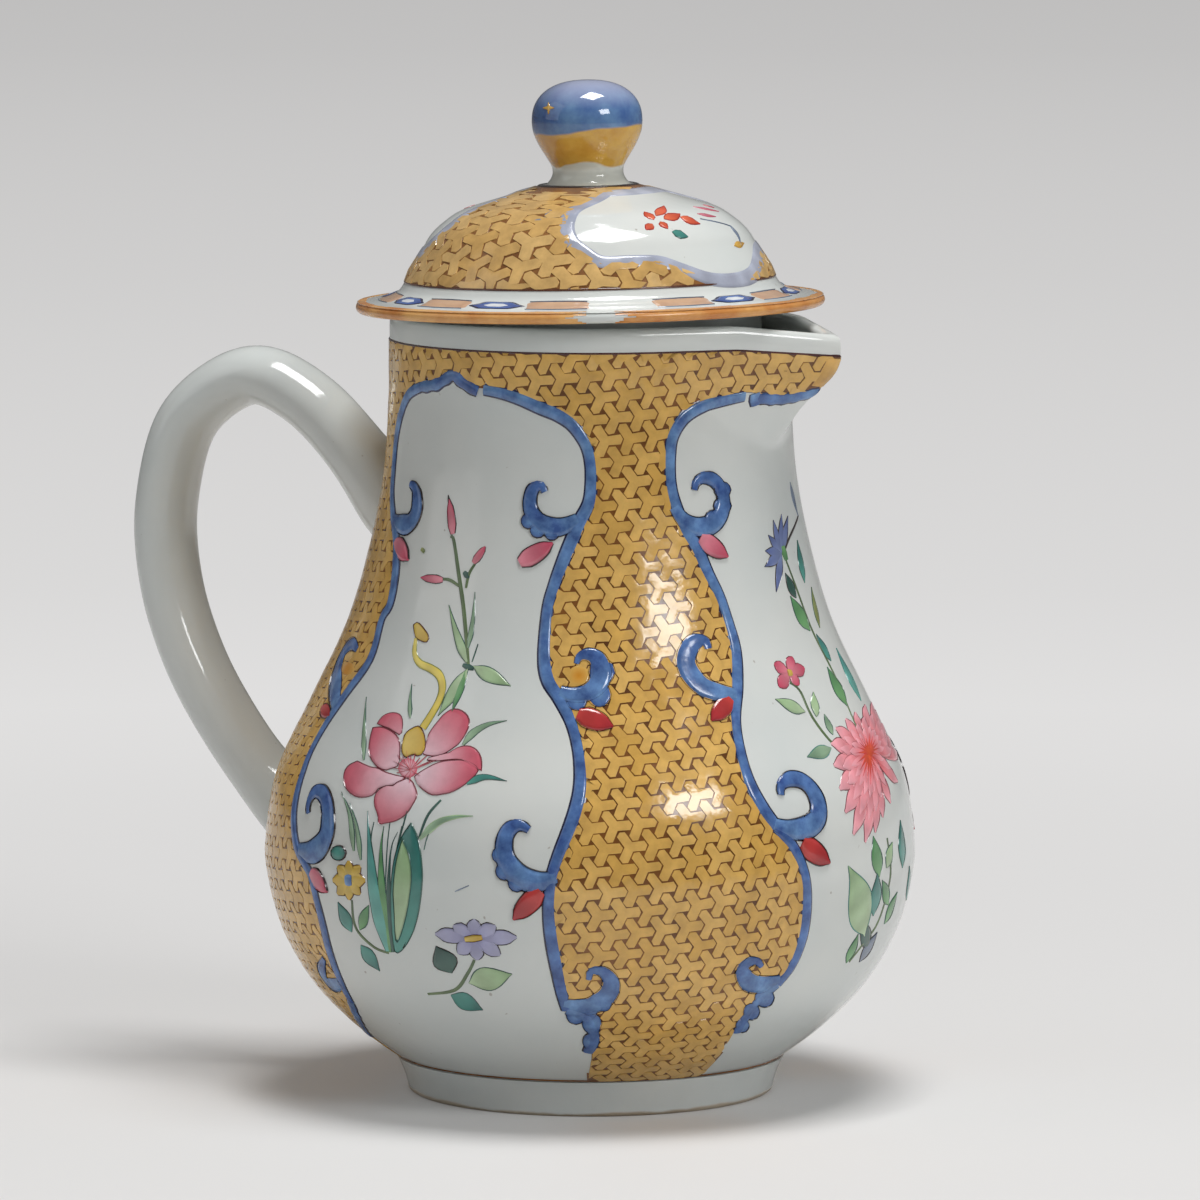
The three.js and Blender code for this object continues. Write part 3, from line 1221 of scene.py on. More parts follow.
class Paint(Enum):
    """Enamel colours, from the start of a stroke or a shape to its end."""

    BLUE = ((112, 152, 196), (80, 116, 174))
    CORN = ((128, 142, 182), (88, 104, 156))
    COBALT = ((88, 118, 178), (52, 74, 138))
    NAVY = ((44, 48, 84), (36, 40, 70))
    INK = ((58, 46, 44), (50, 42, 44))
    BROWN = ((96, 58, 38), (84, 48, 36))
    BLUSH = ((228, 198, 208), (204, 94, 112))
    PINK = ((218, 136, 150), (194, 72, 98))
    MUM = ((218, 76, 78), (240, 172, 182))
    HEART = ((212, 84, 48), (196, 52, 62))
    WINE = ((128, 58, 68), (108, 50, 60))
    GROUND = ((218, 172, 92), (208, 160, 82))
    ROSE = ((216, 130, 138), (184, 62, 78))
    RED = ((190, 64, 60), (158, 38, 46))
    ORANGE = ((222, 112, 76), (200, 66, 48))
    LEMON = ((228, 210, 108), (214, 190, 82))
    YELLOW = ((220, 192, 98), (200, 164, 66))
    EYE = ((206, 140, 44), (212, 168, 84))
    OLIVE = ((150, 156, 96), (112, 126, 78))
    STEM = ((84, 104, 72), (104, 124, 84))
    GRASS = ((150, 176, 146), (112, 146, 118))
    PALE_LEAF = ((178, 200, 162), (146, 178, 132))
    GREEN = ((118, 168, 112), (84, 138, 92))
    TEAL = ((84, 154, 142), (52, 112, 106))
    TURQUOISE = ((112, 180, 168), (70, 140, 136))
    DARK_LEAF = ((70, 104, 94), (42, 74, 68))
    SLATE = ((126, 138, 156), (92, 106, 128))
    LILAC = ((140, 140, 178), (172, 172, 200))
    GOLD = ((206, 164, 74), (186, 140, 58))
    CLOUD = ((160, 166, 184), (178, 182, 196))
    TAN = ((208, 172, 142), (196, 158, 130))
    PORCELAIN = ((226, 230, 234), (216, 222, 230))


@dataclass(frozen=True)
class Stroke:
    """One stroke of the brush: its middle line in pixels, its widths in millimetres."""

    line: Line
    widths: tuple[float, ...]
    paint: Paint
    edge: Paint | None = None


@dataclass(frozen=True)
class Patch:
    """A filled shape: its rim in pixels, and where its first colour lies."""

    rim: Line
    root: Pair
    paint: Paint
    edge: Paint | None = None


LEAF = (0.02, 0.7, 1.0, 0.85, 0.45, 0.02)
BLADE = (0.3, 1.0, 0.9, 0.6, 0.25, 0.02)
BUD = (0.55, 0.95, 1.0, 0.92, 0.66, 0.12)
EVEN = (0.8, 1.0, 1.0, 0.8)
PETAL = (0.2, 0.55, 0.88, 1.0, 0.86, 0.16)
BRUSHED = (0.85, 1.05, 0.88, 1.12, 0.9, 1.08, 0.86, 1.1, 0.9, 1.04, 0.88)


def shaped(shape: Sequence[float], width: float) -> tuple[float, ...]:
    """Widths of a stroke of a given shape and greatest width."""
    return tuple(share * width for share in shape)


def leaf(
    start: Pair, end: Pair, width: float, paint: Paint, edge: Paint | None = Paint.DARK_LEAF
) -> Stroke:
    """A leaf from its stalk to its tip, with a width in millimetres."""
    return Stroke((start, end), shaped(LEAF, width), paint, edge)


def petal(start: Pair, end: Pair, width: float, paint: Paint, edge: Paint | None = None) -> Stroke:
    """A petal that is widest near its round tip."""
    return Stroke((start, end), shaped(PETAL, width), paint, edge)


def blade(line: Line, width: float, paint: Paint, edge: Paint | None = Paint.DARK_LEAF) -> Stroke:
    """A stroke that swells soon and runs out to a point."""
    return Stroke(line, shaped(BLADE, width), paint, edge)


def bud(start: Pair, end: Pair, width: float, paint: Paint) -> Stroke:
    """A bud from its base to its tip, with a dark outline."""
    return Stroke((start, end), shaped(BUD, width), paint, Paint.INK)


def stalk(line: Line, width: float, paint: Paint = Paint.STEM) -> Stroke:
    """A stem of nearly even width."""
    return Stroke(line, shaped(EVEN, width), paint)


def curl(line: Line, widths: tuple[float, ...]) -> Stroke:
    """A blue scroll of a frame, with a dark outline."""
    return Stroke(line, widths, Paint.BLUE, Paint.INK)


def disc(middle: Pair, radius: float, paint: Paint, edge: Paint | None = None) -> Patch:
    """A round shape, with a radius in pixels.

    Args:
        middle: Its middle, in pixels.
        radius: Its radius.
        paint: Its colours.
        edge: Colours of a fine outline, or none.

    Returns:
        The shape.
    """
    turns = np.linspace(0, 2 * math.pi, 9)[:-1]
    rim = tuple((middle[0] + radius * math.cos(turn), middle[1] + radius * math.sin(turn)) for turn in turns)
    return Patch(rim, middle, paint, edge)


def within(rim: Array, angle: Array, arc: Array) -> Array:
    """Tells which places lie inside a closed outline of (angle, arc) places.

    Args:
        rim: The outline.
        angle: The places' angles.
        arc: The places' lengths.

    Returns:
        True for each place that lies inside.
    """
    inside = np.zeros(np.shape(angle), bool)
    for (turn, low), (next_turn, high) in zip(rim, np.roll(rim, -1, axis=0)):
        if high != low:
            crosses = (low > arc) != (high > arc)
            inside ^= crosses & (angle < turn + (arc - low) * (next_turn - turn) / (high - low))
    return inside


def turned_by(sense: float, turn: float = 0.0) -> Fold:
    """Turns places round the axis, or mirrors them first where the sense is -1."""
    return lambda angle, arc: sense * angle + turn


class Outside(Protocol):
    """A surface whose places are an angle and a length along its outline."""

    def at(self, angle: Numbers, arc: Numbers, lift: Numbers = 0.0) -> Array:
        """A point on the surface, in metres."""

    def where(self, point: Vector) -> Pair:
        """The angle and the length of a point on the surface."""


@dataclass
class Chart:
    """An outside and how the picture's pixels fall on it."""

    view: PhotoView
    solid: Piece
    outside: Outside

    def spot(self, pixel: Pair) -> Pair:
        """The place that a pixel shows, or the nearest one inside the silhouette.

        Args:
            pixel: The pixel.

        Returns:
            The place's angle and length.
        """
        x, y = pixel
        inward = math.copysign(0.6, self.view.centre[0] - x)
        for _ in range(60):
            hit, point, _, _ = self.solid.ray_cast(self.view.eye(), self.view.ray((x, y)))
            if hit:
                return self.outside.where(point)
            x += inward
        raise ValueError(f"pixel {pixel} misses {self.solid.name}")

    def trace(self, line: Iterable[Pair]) -> Array:
        """The places that a line of pixels shows."""
        return np.array([self.spot(pixel) for pixel in line])

    def stretch(self, places: Array) -> Array:
        """Millimetres along the outside for each radian, at (angle, arc) places.

        Args:
            places: The places.

        Returns:
            The stretch at each place.
        """
        step = 0.01
        angle, arc = places[..., 0], places[..., 1]
        across = self.outside.at(angle + step, arc) - self.outside.at(angle - step, arc)
        return np.linalg.norm(across, axis=-1) / MM / (2 * step)

    def resampled(self, places: Array, pitch: float) -> Array:
        """Evenly spaced places along a smooth line, a pitch in millimetres apart.

        Args:
            places: Places that the line runs through.
            pitch: The pitch.

        Returns:
            The even places.
        """
        line = smoothed(places, 6)
        metric = self.stretch(line)
        steps = np.diff(line, axis=0)
        steps[:, 0] *= (metric[1:] + metric[:-1]) / 2
        length = np.concatenate([[0.0], np.cumsum(np.linalg.norm(steps, axis=1))])
        even = np.linspace(0, length[-1], max(5, int(length[-1] / pitch) + 1))
        return np.stack([np.interp(even, length, line[:, k]) for k in (0, 1)], 1)

    def moved(self, places: Array, offset: Numbers) -> Array:
        """Moves a line to its left by an offset in millimetres.

        Args:
            places: The line's places.
            offset: The offset.

        Returns:
            The moved places.
        """
        metric = self.stretch(places)
        along = np.gradient(places, axis=0)
        along[:, 0] *= metric
        along /= np.maximum(np.linalg.norm(along, axis=1), 1e-9)[:, None]
        shift = np.stack([-along[:, 1] / metric, along[:, 0]], 1)
        return places + shift * np.asarray(offset)[..., None]


@dataclass
class Painter:
    """Lays strokes and shapes of enamel on an outside, layer by layer."""

    chart: Chart
    body: Body
    copies: tuple[Fold, ...] = (turned_by(1),)
    parts: list[Piece] = field(default_factory=list)
    count: int = 0

    def surface(self, angle: Array, arc: Array, lift: Array, tints: Array) -> None:
        """Adds a closed strip for each copy from rings of places, lifts and colours.

        Args:
            angle: Angle of each point.
            arc: Length of each point.
            lift: Lift of each point.
            tints: Colour of each point.
        """
        for fold in self.copies:
            rings = self.chart.outside.at(fold(angle, arc), arc, lift)
            self.parts.append(Bench.wrapped("mark", rings, tints))

    def band(self, line: Array, widths: Sequence[float], paint: Paint, lift: float) -> None:
        """Lays one closed, domed band of enamel.

        Args:
            line: The (angle, arc) places of its middle line.
            widths: Width at even steps along the line, in millimetres.
            paint: Its colours.
            lift: How high its crest stands, in millimetres.
        """
        self.count += 1
        thin = max(widths) < 0.4
        middle = self.chart.resampled(line, 0.6 if thin else 0.45)
        share = np.linspace(0, 1, len(middle))
        fine = smoothed([(width,) for width in widths], 6)[:, 0]
        half = np.maximum(np.interp(share, np.linspace(0, 1, len(fine)), fine), 0.02) / 2
        if thin:
            across = np.array((-1.0, 0.0, 1.0, 0.0))
            rise = np.array((-0.03, lift, -0.03, -0.07))
        else:
            across = np.array((-1.0, -0.88, -0.5, 0.0, 0.5, 0.88, 1.0, 0.7, -0.7))
            dome = [lift * part for part in (0.6, 0.92, 1.0, 0.92, 0.6)]
            rise = np.array((-0.03, *dome, -0.03, -0.07, -0.07))
        rise = rise + (rise > 0) * 0.0015 * (self.count % 16)
        rows = [self.chart.moved(middle, offset * half) for offset in across]
        rings = np.stack(rows, 1)
        start, end = (np.array(linear(colour)) for colour in paint.value)
        wave = 1 + 0.1 * np.sin(self.count + np.arange(len(middle)) * 0.7)
        tints = (start + (end - start) * share[:, None]) * wave[:, None]
        tints = np.repeat(tints[:, None], len(across), axis=1)
        self.surface(rings[..., 0], rings[..., 1], np.broadcast_to(rise, rings.shape[:2]), tints)

    def shape(self, rim: Array, root: Pair, paint: Paint, lift: float) -> None:
        """Lays one closed, domed shape of enamel.

        Args:
            rim: The (angle, arc) places of its outline.
            root: Where the first colour lies.
            paint: Its colours, from the root out.
            lift: How high it stands, in millimetres.
        """
        self.count += 1
        around = smoothed([*rim, rim[0]], 3)[:-1]
        middle = around.mean(axis=0)
        sizes = np.array((0.02, 0.88, 1.0, 0.94, 0.8, 0.5, 0.25, 0.02))
        rise = np.array((-0.07, -0.07, -0.03, 0.6, 0.88, 1.0, 1.0, 1.0))
        rise = np.where(rise > 0, rise * lift + 0.0015 * (self.count % 16), rise)
        rings = middle + (around - middle) * sizes[:, None, None]
        scale = np.array([self.chart.stretch(middle), 1.0])
        far = np.linalg.norm((rings - root) * scale, axis=-1)
        far = np.clip(far / far.max(), 0, 1)
        start, end = (np.array(linear(colour)) for colour in paint.value)
        tints = start + (end - start) * (far * far * (3 - 2 * far))[..., None]
        lifts = np.broadcast_to(rise[:, None], rings.shape[:2])
        self.surface(rings[..., 0], rings[..., 1], lifts, tints)

    def edges(self, line: Array, widths: Sequence[float], paint: Paint, lift: float) -> None:
        """Draws a fine line along both edges of a stroke.

        Args:
            line: The stroke's middle line, as places.
            widths: Its widths, in millimetres.
            paint: The line's colours.
            lift: The line's lift, in millimetres.
        """
        middle = self.chart.resampled(line, 0.5)
        fine = smoothed([(width,) for width in widths], 6)[:, 0]
        share = np.linspace(0, 1, len(middle))
        half = np.interp(share, np.linspace(0, 1, len(fine)), fine) / 2
        every = max(1, len(middle) // 8)
        for flank in (-1, 1):
            edge = self.chart.moved(middle, flank * half)
            self.band(np.vstack([edge[::every], edge[-1]]), (0.12, 0.25, 0.17, 0.25, 0.1), paint, lift)

    def lay(self, marks: Iterable[Stroke | Patch], lift: float) -> None:
        """Lays marks with their fine outlines, at a lift in millimetres.

        Args:
            marks: Strokes and shapes.
            lift: The lift.
        """
        for mark in marks:
            if isinstance(mark, Patch):
                rim = self.chart.trace(mark.rim)
                self.shape(rim, self.chart.spot(mark.root), mark.paint, lift)
                if mark.edge:
                    self.band(np.array([*rim, rim[0]]), (0.2, 0.26, 0.17, 0.26, 0.2), mark.edge, lift)
                continue
            line = self.chart.trace(mark.line)
            self.band(line, mark.widths, mark.paint, lift)
            if mark.edge:
                self.edges(line, mark.widths, mark.edge, lift * 0.8)

    def finish(self, name: str, slot: Slot, material: Finish) -> None:
        """Joins what was laid into one piece, and dresses it and ties it to its body.

        Args:
            name: The piece's name.
            slot: Not used.
            material: Its material.
        """
        piece = Bench.joined(name, self.parts)
        self.parts = []
        Bench.settle(piece)
        Bench.smooth(piece, 70)
        hand_in(piece, self.body, material)


@dataclass
class Skin:
    """A thin coat over part of an outside, in millimetres."""

    outside: Outside
    turns: int = 288
    pitch: float = 0.8
    lift: float = 0.05

    def build(self, name: str, arcs: Pair, inside: Covers) -> Piece:
        """Makes the coat.

        Args:
            name: The piece's name.
            arcs: The lengths along the outline that it runs between.
            inside: Tells which (angle, arc) places it covers.

        Returns:
            The coat.
        """
        angles = np.linspace(-math.pi, math.pi, self.turns + 1)
        lengths = np.linspace(*arcs, int((arcs[1] - arcs[0]) / self.pitch) + 2)
        angle, arc = np.meshgrid(angles, lengths)
        sheet = Bench.wrapped(name, self.outside.at(angle, arc, self.lift), closed=False)
        middle = [(grid[1:, 1:] + grid[:-1, :-1]) / 2 for grid in (angle, arc)]
        kept = inside(*middle).ravel()
        Bench.pick(sheet)
        bpy.ops.object.mode_set(mode="EDIT")
        bpy.ops.mesh.select_mode(type="FACE")
        bpy.ops.object.mode_set(mode="OBJECT")
        sheet.data.polygons.foreach_set("select", ~kept)
        bpy.ops.object.mode_set(mode="EDIT")
        bpy.ops.mesh.delete(type="FACE")
        bpy.ops.mesh.select_mode(type="VERT")
        bpy.ops.mesh.select_all(action="SELECT")
        bpy.ops.mesh.remove_doubles(threshold=1e-7)
        bpy.ops.object.mode_set(mode="OBJECT")
        wall = sheet.modifiers.new("wall", "SOLIDIFY")
        wall.thickness = 0.12 * MM
        wall.offset = -1
        bpy.ops.object.modifier_apply(modifier=wall.name)
        return sheet


@dataclass
class Diaper:
    """A field of interlocking three-armed tiles of raised enamel, in millimetres."""

    outside: Outside
    arm_width: float = 1.42
    arm_length: float = 1.63
    turn: float = 5.0  # turn of the field, in degrees
    line: Pair = (0.015, 0.075)  # half width of the lines between tiles
    rise: float = 0.12
    hub: float = 0.16
    paint: tuple[Colour, Colour] = ((228, 184, 104), (210, 164, 80))
    seed: int = 5
    wander: float = 0.035  # how far their corners stray

    @property
    def pitch(self) -> float:
        """Distance from each tile to its six neighbours."""
        return 2 * self.arm_width / math.sqrt(3) + self.arm_length

    def hubs(self, low: Pair, high: Pair) -> Array:
        """Middles of the tiles that lie in a box of the flat field.

        Args:
            low: The box's lower corner.
            high: Its upper corner.

        Returns:
            The middles.
        """
        turn = math.radians(self.turn)
        along = self.pitch * np.array([math.cos(turn), math.sin(turn)])
        up = self.pitch * np.array([math.cos(turn + math.pi / 3), math.sin(turn + math.pi / 3)])
        reach = int(2 * max(abs(value) for value in (*low, *high)) / self.pitch) + 2
        steps = np.arange(-reach, reach + 1)
        first, second = np.meshgrid(steps, steps)
        spots = first.ravel()[:, None] * along + second.ravel()[:, None] * up
        keep = (spots[:, 0] > low[0]) & (spots[:, 0] < high[0])
        keep &= (spots[:, 1] > low[1]) & (spots[:, 1] < high[1])
        return spots[keep]

    def tile_rim(self, narrow: Array) -> Array:
        """Outlines of tiles whose arms are each narrowed by a half line width.

        Args:
            narrow: The half line width of each tile.

        Returns:
            Twelve corners for each tile.
        """
        width = self.arm_width - 2 * narrow
        corners = []
        for arm in range(3):
            turn = math.radians(self.turn) + arm * 2 * math.pi / 3
            out = np.array([math.cos(turn), math.sin(turn)])
            side = np.array([-math.sin(turn), math.cos(turn)])
            neck = width / (2 * math.sqrt(3))
            end = self.arm_width / (2 * math.sqrt(3)) + self.arm_length - narrow * 0.3
            corners.append(neck[:, None] * out - (width / 2)[:, None] * side)
            corners.append(end[:, None] * out - (width / 2)[:, None] * side)
            corners.append((end + width / (2 * math.sqrt(3)))[:, None] * out)
            corners.append(end[:, None] * out + (width / 2)[:, None] * side)
        return np.stack(corners, 1)

    def template(self, name: str, count: int) -> Piece:
        """Models one tile, with a rim of 12 corners and a raised hub, and repeats it.

        Args:
            name: The piece's name.
            count: How many tiles.

        Returns:
            The tiles, all in one place, as one piece.
        """
        Bench.clear()
        bpy.ops.mesh.primitive_circle_add(vertices=12, radius=1, fill_type="NGON")
        piece = bpy.context.object
        piece.name = name
        bpy.ops.object.mode_set(mode="EDIT")
        bpy.ops.mesh.select_all(action="SELECT")
        bpy.ops.mesh.extrude_region_move(TRANSFORM_OT_translate={"value": (0, 0, 1)})
        bpy.ops.mesh.poke()
        bpy.ops.object.mode_set(mode="OBJECT")
        Bench.settle(piece)
        repeat = piece.modifiers.new("repeat", "ARRAY")
        repeat.count = count
        repeat.use_relative_offset = False
        repeat.use_constant_offset = True
        repeat.constant_offset_displace = (0, 0, 0)
        Bench.pick(piece)
        bpy.ops.object.modifier_apply(modifier=repeat.name)
        return piece

    def build(
        self,
        name: str,
        hubs: Array,
        folded: Callable[[Array], Array],
        inside: Covers,
    ) -> Piece:
        """Makes the tiles of one part of the field.

        Args:
            name: The piece's name.
            hubs: Their middles in the flat field.
            folded: Turns flat (x, y) into (angle, arc) places.
            inside: Tells which places the field covers.

        Returns:
            The tiles as one piece.
        """
        random_state = np.random.default_rng(self.seed)
        narrow = random_state.uniform(*self.line, len(hubs))
        rims = self.tile_rim(narrow) + hubs[:, None]
        rims += random_state.normal(0, self.wander, rims.shape)
        mix = random_state.beta(1.6, 1.6, len(hubs))
        rim_in = inside(*np.moveaxis(folded(rims), -1, 0))
        hub_in = inside(*np.moveaxis(folded(hubs), -1, 0))
        count = rim_in.sum(1)
        mean = (rims * rim_in[..., None]).sum(1) / np.maximum(count, 1)[:, None]
        anchors = np.where(hub_in[:, None], hubs, mean)
        kept = (hub_in & (count > 1)) | ((count > 1) & inside(*np.moveaxis(folded(anchors), -1, 0)))
        rims, anchors, mix, rim_in = rims[kept], anchors[kept], mix[kept], rim_in[kept]
        near, far = np.zeros(rim_in.shape), np.ones(rim_in.shape)
        for _ in range(9):
            share = (near + far) / 2
            tried = anchors[:, None] + (rims - anchors[:, None]) * share[..., None]
            hit = inside(*np.moveaxis(folded(tried), -1, 0))
            near, far = np.where(hit, share, near), np.where(hit, far, share)
        share = np.where(rim_in, 1.0, near)
        rims = anchors[:, None] + (rims - anchors[:, None]) * share[..., None]
        tops = anchors[:, None] + (rims - anchors[:, None]) * 0.955
        piece = self.template(name, len(rims))
        self.place(piece, np.concatenate([rims, tops, anchors[:, None]], 1), folded, mix)
        return piece

    def place(
        self,
        piece: Piece,
        spots: Array,
        folded: Callable[[Array], Array],
        mix: Array,
    ) -> None:
        """Moves the repeated tiles to their places and colours them.

        Args:
            piece: The tiles, all in one place.
            spots: For each tile the flat places of its rim, its top rim and its hub.
            folded: Turns flat (x, y) into (angle, arc) places.
            mix: Share of the deeper colour for each tile.
        """
        corner = len(piece.data.vertices) // len(spots)
        flat = np.empty(len(piece.data.vertices) * 3, np.float32)
        piece.data.vertices.foreach_get("co", flat)
        model = flat.reshape(-1, 3)[:corner]
        step = np.round(np.arctan2(model[:, 1], model[:, 0]) / (math.pi / 6)).astype(int) % 12
        order = np.where(model[:, 2] < 0.5, step, step + 12)
        order = np.where(np.hypot(model[:, 0], model[:, 1]) < 0.5, 24, order)
        lifts = np.concatenate([np.full(12, -0.04), np.full(12, self.rise), [self.hub]])
        places = folded(spots[:, order])
        points = self.outside.at(places[..., 0], places[..., 1], lifts[order])
        piece.data.vertices.foreach_set("co", points.astype(np.float32).ravel())
        piece.data.update()
        pale, deep = (np.array(linear(colour)) for colour in self.paint)
        tints = pale + (deep - pale) * mix[:, None]
        Bench.tint(piece, np.repeat(tints[:, None], corner, axis=1).reshape(-1, 4))
        Bench.settle(piece, fill=False)
        Bench.smooth(piece, 20)


@dataclass(frozen=True)
class PanelFrames:
    """The blue scrolled frames of the white panels, by pixels of the picture."""

    front_from: float = 650  # column from which on a mark belongs to the front panel
    far_shift: float = 11.5  # how much farther round its far side reaches, in degrees
    ribbon: float = 1.6  # width in millimetres
    ribbon_edge: float = 0.42  # how much wider its dark edge is
    margin: float = 0.62  # how far the ground keeps off the ribbon's middle line
    apex: Line = ((421.6, 386.6), (437.2, 384.0), (452.8, 375.6), (463.8, 383.4), (477.8, 391.3))
    right: Line = (
        (484, 389.7), (501, 393), (520, 399), (542, 408.4), (557.5, 414.7), (573, 425.6), (585.6, 444.4),
        (590.3, 463), (591, 485), (588.8, 503.8), (579.4, 522.5), (573, 538), (563.8, 560), (554.4, 585),
        (547.5, 610), (544.4, 652.5), (547.6, 678.5), (559, 698), (570.4, 720.8), (576.9, 743.6),
        (580.1, 766.4), (580.1, 789), (575.3, 811.9), (567, 834.7), (559, 854.2), (552.5, 873.7),
        (549.2, 896.5), (549.2, 919.2), (552.5, 945.3), (557.4, 971.3), (562.2, 994), (567, 1010),
    )
    left: Line = (
        (421.6, 386.6), (409, 394.4), (401.3, 413), (396.6, 438), (394.4, 463), (392.5, 491), (393.4, 516.3),
        (396.6, 541.3), (395.6, 572.5), (390.3, 603.8), (381.7, 620), (370.3, 659), (347.6, 691.6),
        (328, 720.8), (311.8, 750), (302, 776), (295.5, 802), (293.9, 821.7), (297.2, 847.7),
        (310.2, 873.7), (316.7, 899.7), (323.2, 925.7), (329.7, 951.8), (339.4, 977.8), (350.8, 1000.6),
    )
    front: Line = (
        (745, 396), (723, 400.6), (704.4, 405.3), (685.6, 416.3), (673.1, 435), (670, 456.9), (671, 485),
        (676.3, 506.9), (685.6, 528.8), (696.6, 547.5), (707.5, 572.5), (720, 597.5), (729.4, 625.6),
        (735.6, 650.6), (736.8, 685), (735.2, 717.6), (740, 750.1), (748.2, 779.4), (761.2, 805.4),
        (777.4, 828.2), (793.7, 847.7), (803.5, 870.4), (806.7, 896.5), (805.1, 922.5), (800.2, 945.3),
        (790.4, 968), (777.4, 984.3),
    )
    front_breaks: tuple[Line, ...] = (
        ((817, 392), (807.5, 394.4), (782.5, 399), (757.5, 398)),
        ((755, 393), (755.5, 405)),
    )
    tails: tuple[Line, ...] = (
        ((567, 1010), (588.8, 1020), (593.7, 1039.6), (588, 1052), (584, 1074)),
        ((777.4, 984.3), (764.4, 994), (748.2, 1012), (737, 1032), (712, 1068)),
        ((350.8, 1000.6), (358, 1018), (366, 1034), (384, 1050)),
    )
    scrolls: tuple[Stroke, ...] = (
        curl(((578, 519), (565, 526), (555, 527.5), (541.9, 524), (532, 513.1), (530, 499), (534, 488),
              (541.3, 486), (545, 492)), (1.6, 2.3, 2.6, 2.2, 1.9, 1.7, 0.9)),
        curl(((560, 692), (573, 695), (587, 693), (598, 684), (601, 672), (598, 660), (590.3, 654.5),
              (580, 656.5), (576.5, 664)), (1.8, 2.2, 2.5, 2.8, 2.5, 1.8, 0.7)),
        curl(((556, 877), (537, 882), (519, 876), (506.5, 860.7), (504, 845), (508, 831), (519, 825),
              (529, 830)), (1.6, 2.8, 3.1, 2.8, 2.3, 2.0, 1.0)),
        curl(((564, 1003), (588.8, 1006), (607, 995), (611, 981), (602, 971), (591, 971), (588.8, 979)),
             (1.7, 2.8, 3.0, 2.4, 1.6, 0.8)),
        curl(((394.5, 519), (399, 523), (409, 524), (417, 511), (416.5, 490), (411, 484)),
             (1.6, 2.8, 2.6, 2.2, 1.0)),
        curl(((337, 706), (336, 690), (337.5, 672), (344.3, 653), (353, 644), (358, 650)),
             (2.2, 3.4, 3.0, 2.4, 1.0)),
        curl(((300, 850), (313, 852), (326, 838), (328.5, 814), (325, 796), (317, 791), (310, 800),
              (309, 813)), (2.0, 3.4, 3.2, 2.6, 2.0, 0.9)),
        curl(((341, 983), (331, 984), (323, 972), (325, 958)), (1.8, 2.6, 2.0, 0.9)),
        curl(((674, 507), (683, 520), (697, 527), (711, 524.5), (721, 513), (723, 497), (716, 482),
              (704.4, 477.5), (696, 482), (694, 490)), (1.6, 2.3, 2.7, 2.4, 2.0, 1.8, 0.9)),
        curl(((736, 695), (716, 692), (700, 685), (688, 670), (686, 656), (693, 643), (704, 641),
              (708, 649)), (1.8, 2.6, 2.9, 3.0, 2.7, 2.3, 1.1)),
        curl(((774, 824), (787, 829), (801, 829), (814, 823), (818.5, 810), (814, 794), (804, 782),
              (790.4, 779), (781, 785), (780.5, 795)), (1.7, 2.8, 3.2, 3.0, 2.4, 2.2, 1.0)),
        curl(((779, 979), (763, 984), (749, 982), (742, 971), (746, 963), (756, 960.5), (761, 966)),
             (1.6, 2.8, 2.8, 2.2, 1.6, 0.8)),
    )
    lobes: tuple[tuple[Pair, float], ...] = (
        ((529, 521), 8), ((538, 530), 8), ((552, 533), 7.5), ((602, 672), 13.5), ((599, 695), 12.5),
        ((577, 700), 11), ((501, 855), 9), ((505, 871), 9.5), ((517, 883), 9), ((534, 887), 8.5),
        ((604, 1003), 8), ((590, 1010), 8), ((722, 490), 8.5), ((722, 506), 9), ((713, 519), 9),
        ((697, 528), 9), ((812, 822), 10), ((800, 831), 9), ((752, 985), 7), ((765, 987), 7),
        ((576, 1014), 10), ((592, 1023), 10), ((591, 1041), 8.5), ((764, 997), 10), ((751, 1011), 8.5),
        ((742, 1025), 7),
    )
    buds: tuple[Stroke, ...] = (
        bud((520, 563.1), (553, 543), 2.5, Paint.PINK),
        bud((577.8, 714), (613, 727), 3.0, Paint.RED),
        bud((541, 891), (513.5, 919.2), 2.7, Paint.RED),
        bud((396.6, 541.3), (409, 560), 2.6, Paint.PINK),
        bud((323, 708), (331, 716), 2.0, Paint.RED),
        bud((311.8, 872), (328, 891.6), 2.7, Paint.PINK),
        bud((699.7, 538), (727.2, 557), 2.7, Paint.PINK),
        bud((730, 699), (711, 721), 2.6, Paint.RED),
        bud((801.8, 843), (829, 863), 3.1, Paint.RED),
    )
    eyes: tuple[tuple[Pair, float], ...] = (
        ((579, 676), 11), ((348, 669), 7.5),
    )

    def lean(self, arc: Array, top: float) -> Array:
        """The far shift in radians, which starts at the panel's top."""
        return math.radians(self.far_shift) * np.clip((top - arc) / 14, 0, 1)

    def half_of(self, strokes: Sequence[Stroke], front: bool) -> list[Stroke]:
        """The strokes of the front panel, or else those of the side panel."""
        return [stroke for stroke in strokes if (stroke.line[0][0] > self.front_from) == front]

    def rims(self, chart: Chart) -> tuple[Array, Array]:
        """Outlines of the near side panel and of the front panel's left half.

        Args:
            chart: The pot's chart.

        Returns:
            Both outlines as (angle, arc) places.
        """
        under = -4.0
        right_tail, front_tail, left_tail = self.tails
        routes = (
            (self.apex[2:], self.right, right_tail, 1),
            (self.apex[2:0:-1], self.left, left_tail, -1),
            (self.front_breaks[0], self.front, front_tail, -1),
        )
        sides = []
        for top, line, tail, way in routes:
            places = chart.resampled(chart.trace([*top, *line, *tail[1:]]), 1.2)
            edge = chart.moved(places, way * self.margin)
            sides.append(np.vstack([edge, [edge[-1, 0], under]]))
        right, left, front = sides
        side_rim = np.vstack([right, left[::-1]])
        middle = 0.3
        front_rim = np.vstack([front, [(middle, under), (middle, front[0, 1])]])
        return side_rim, front_rim

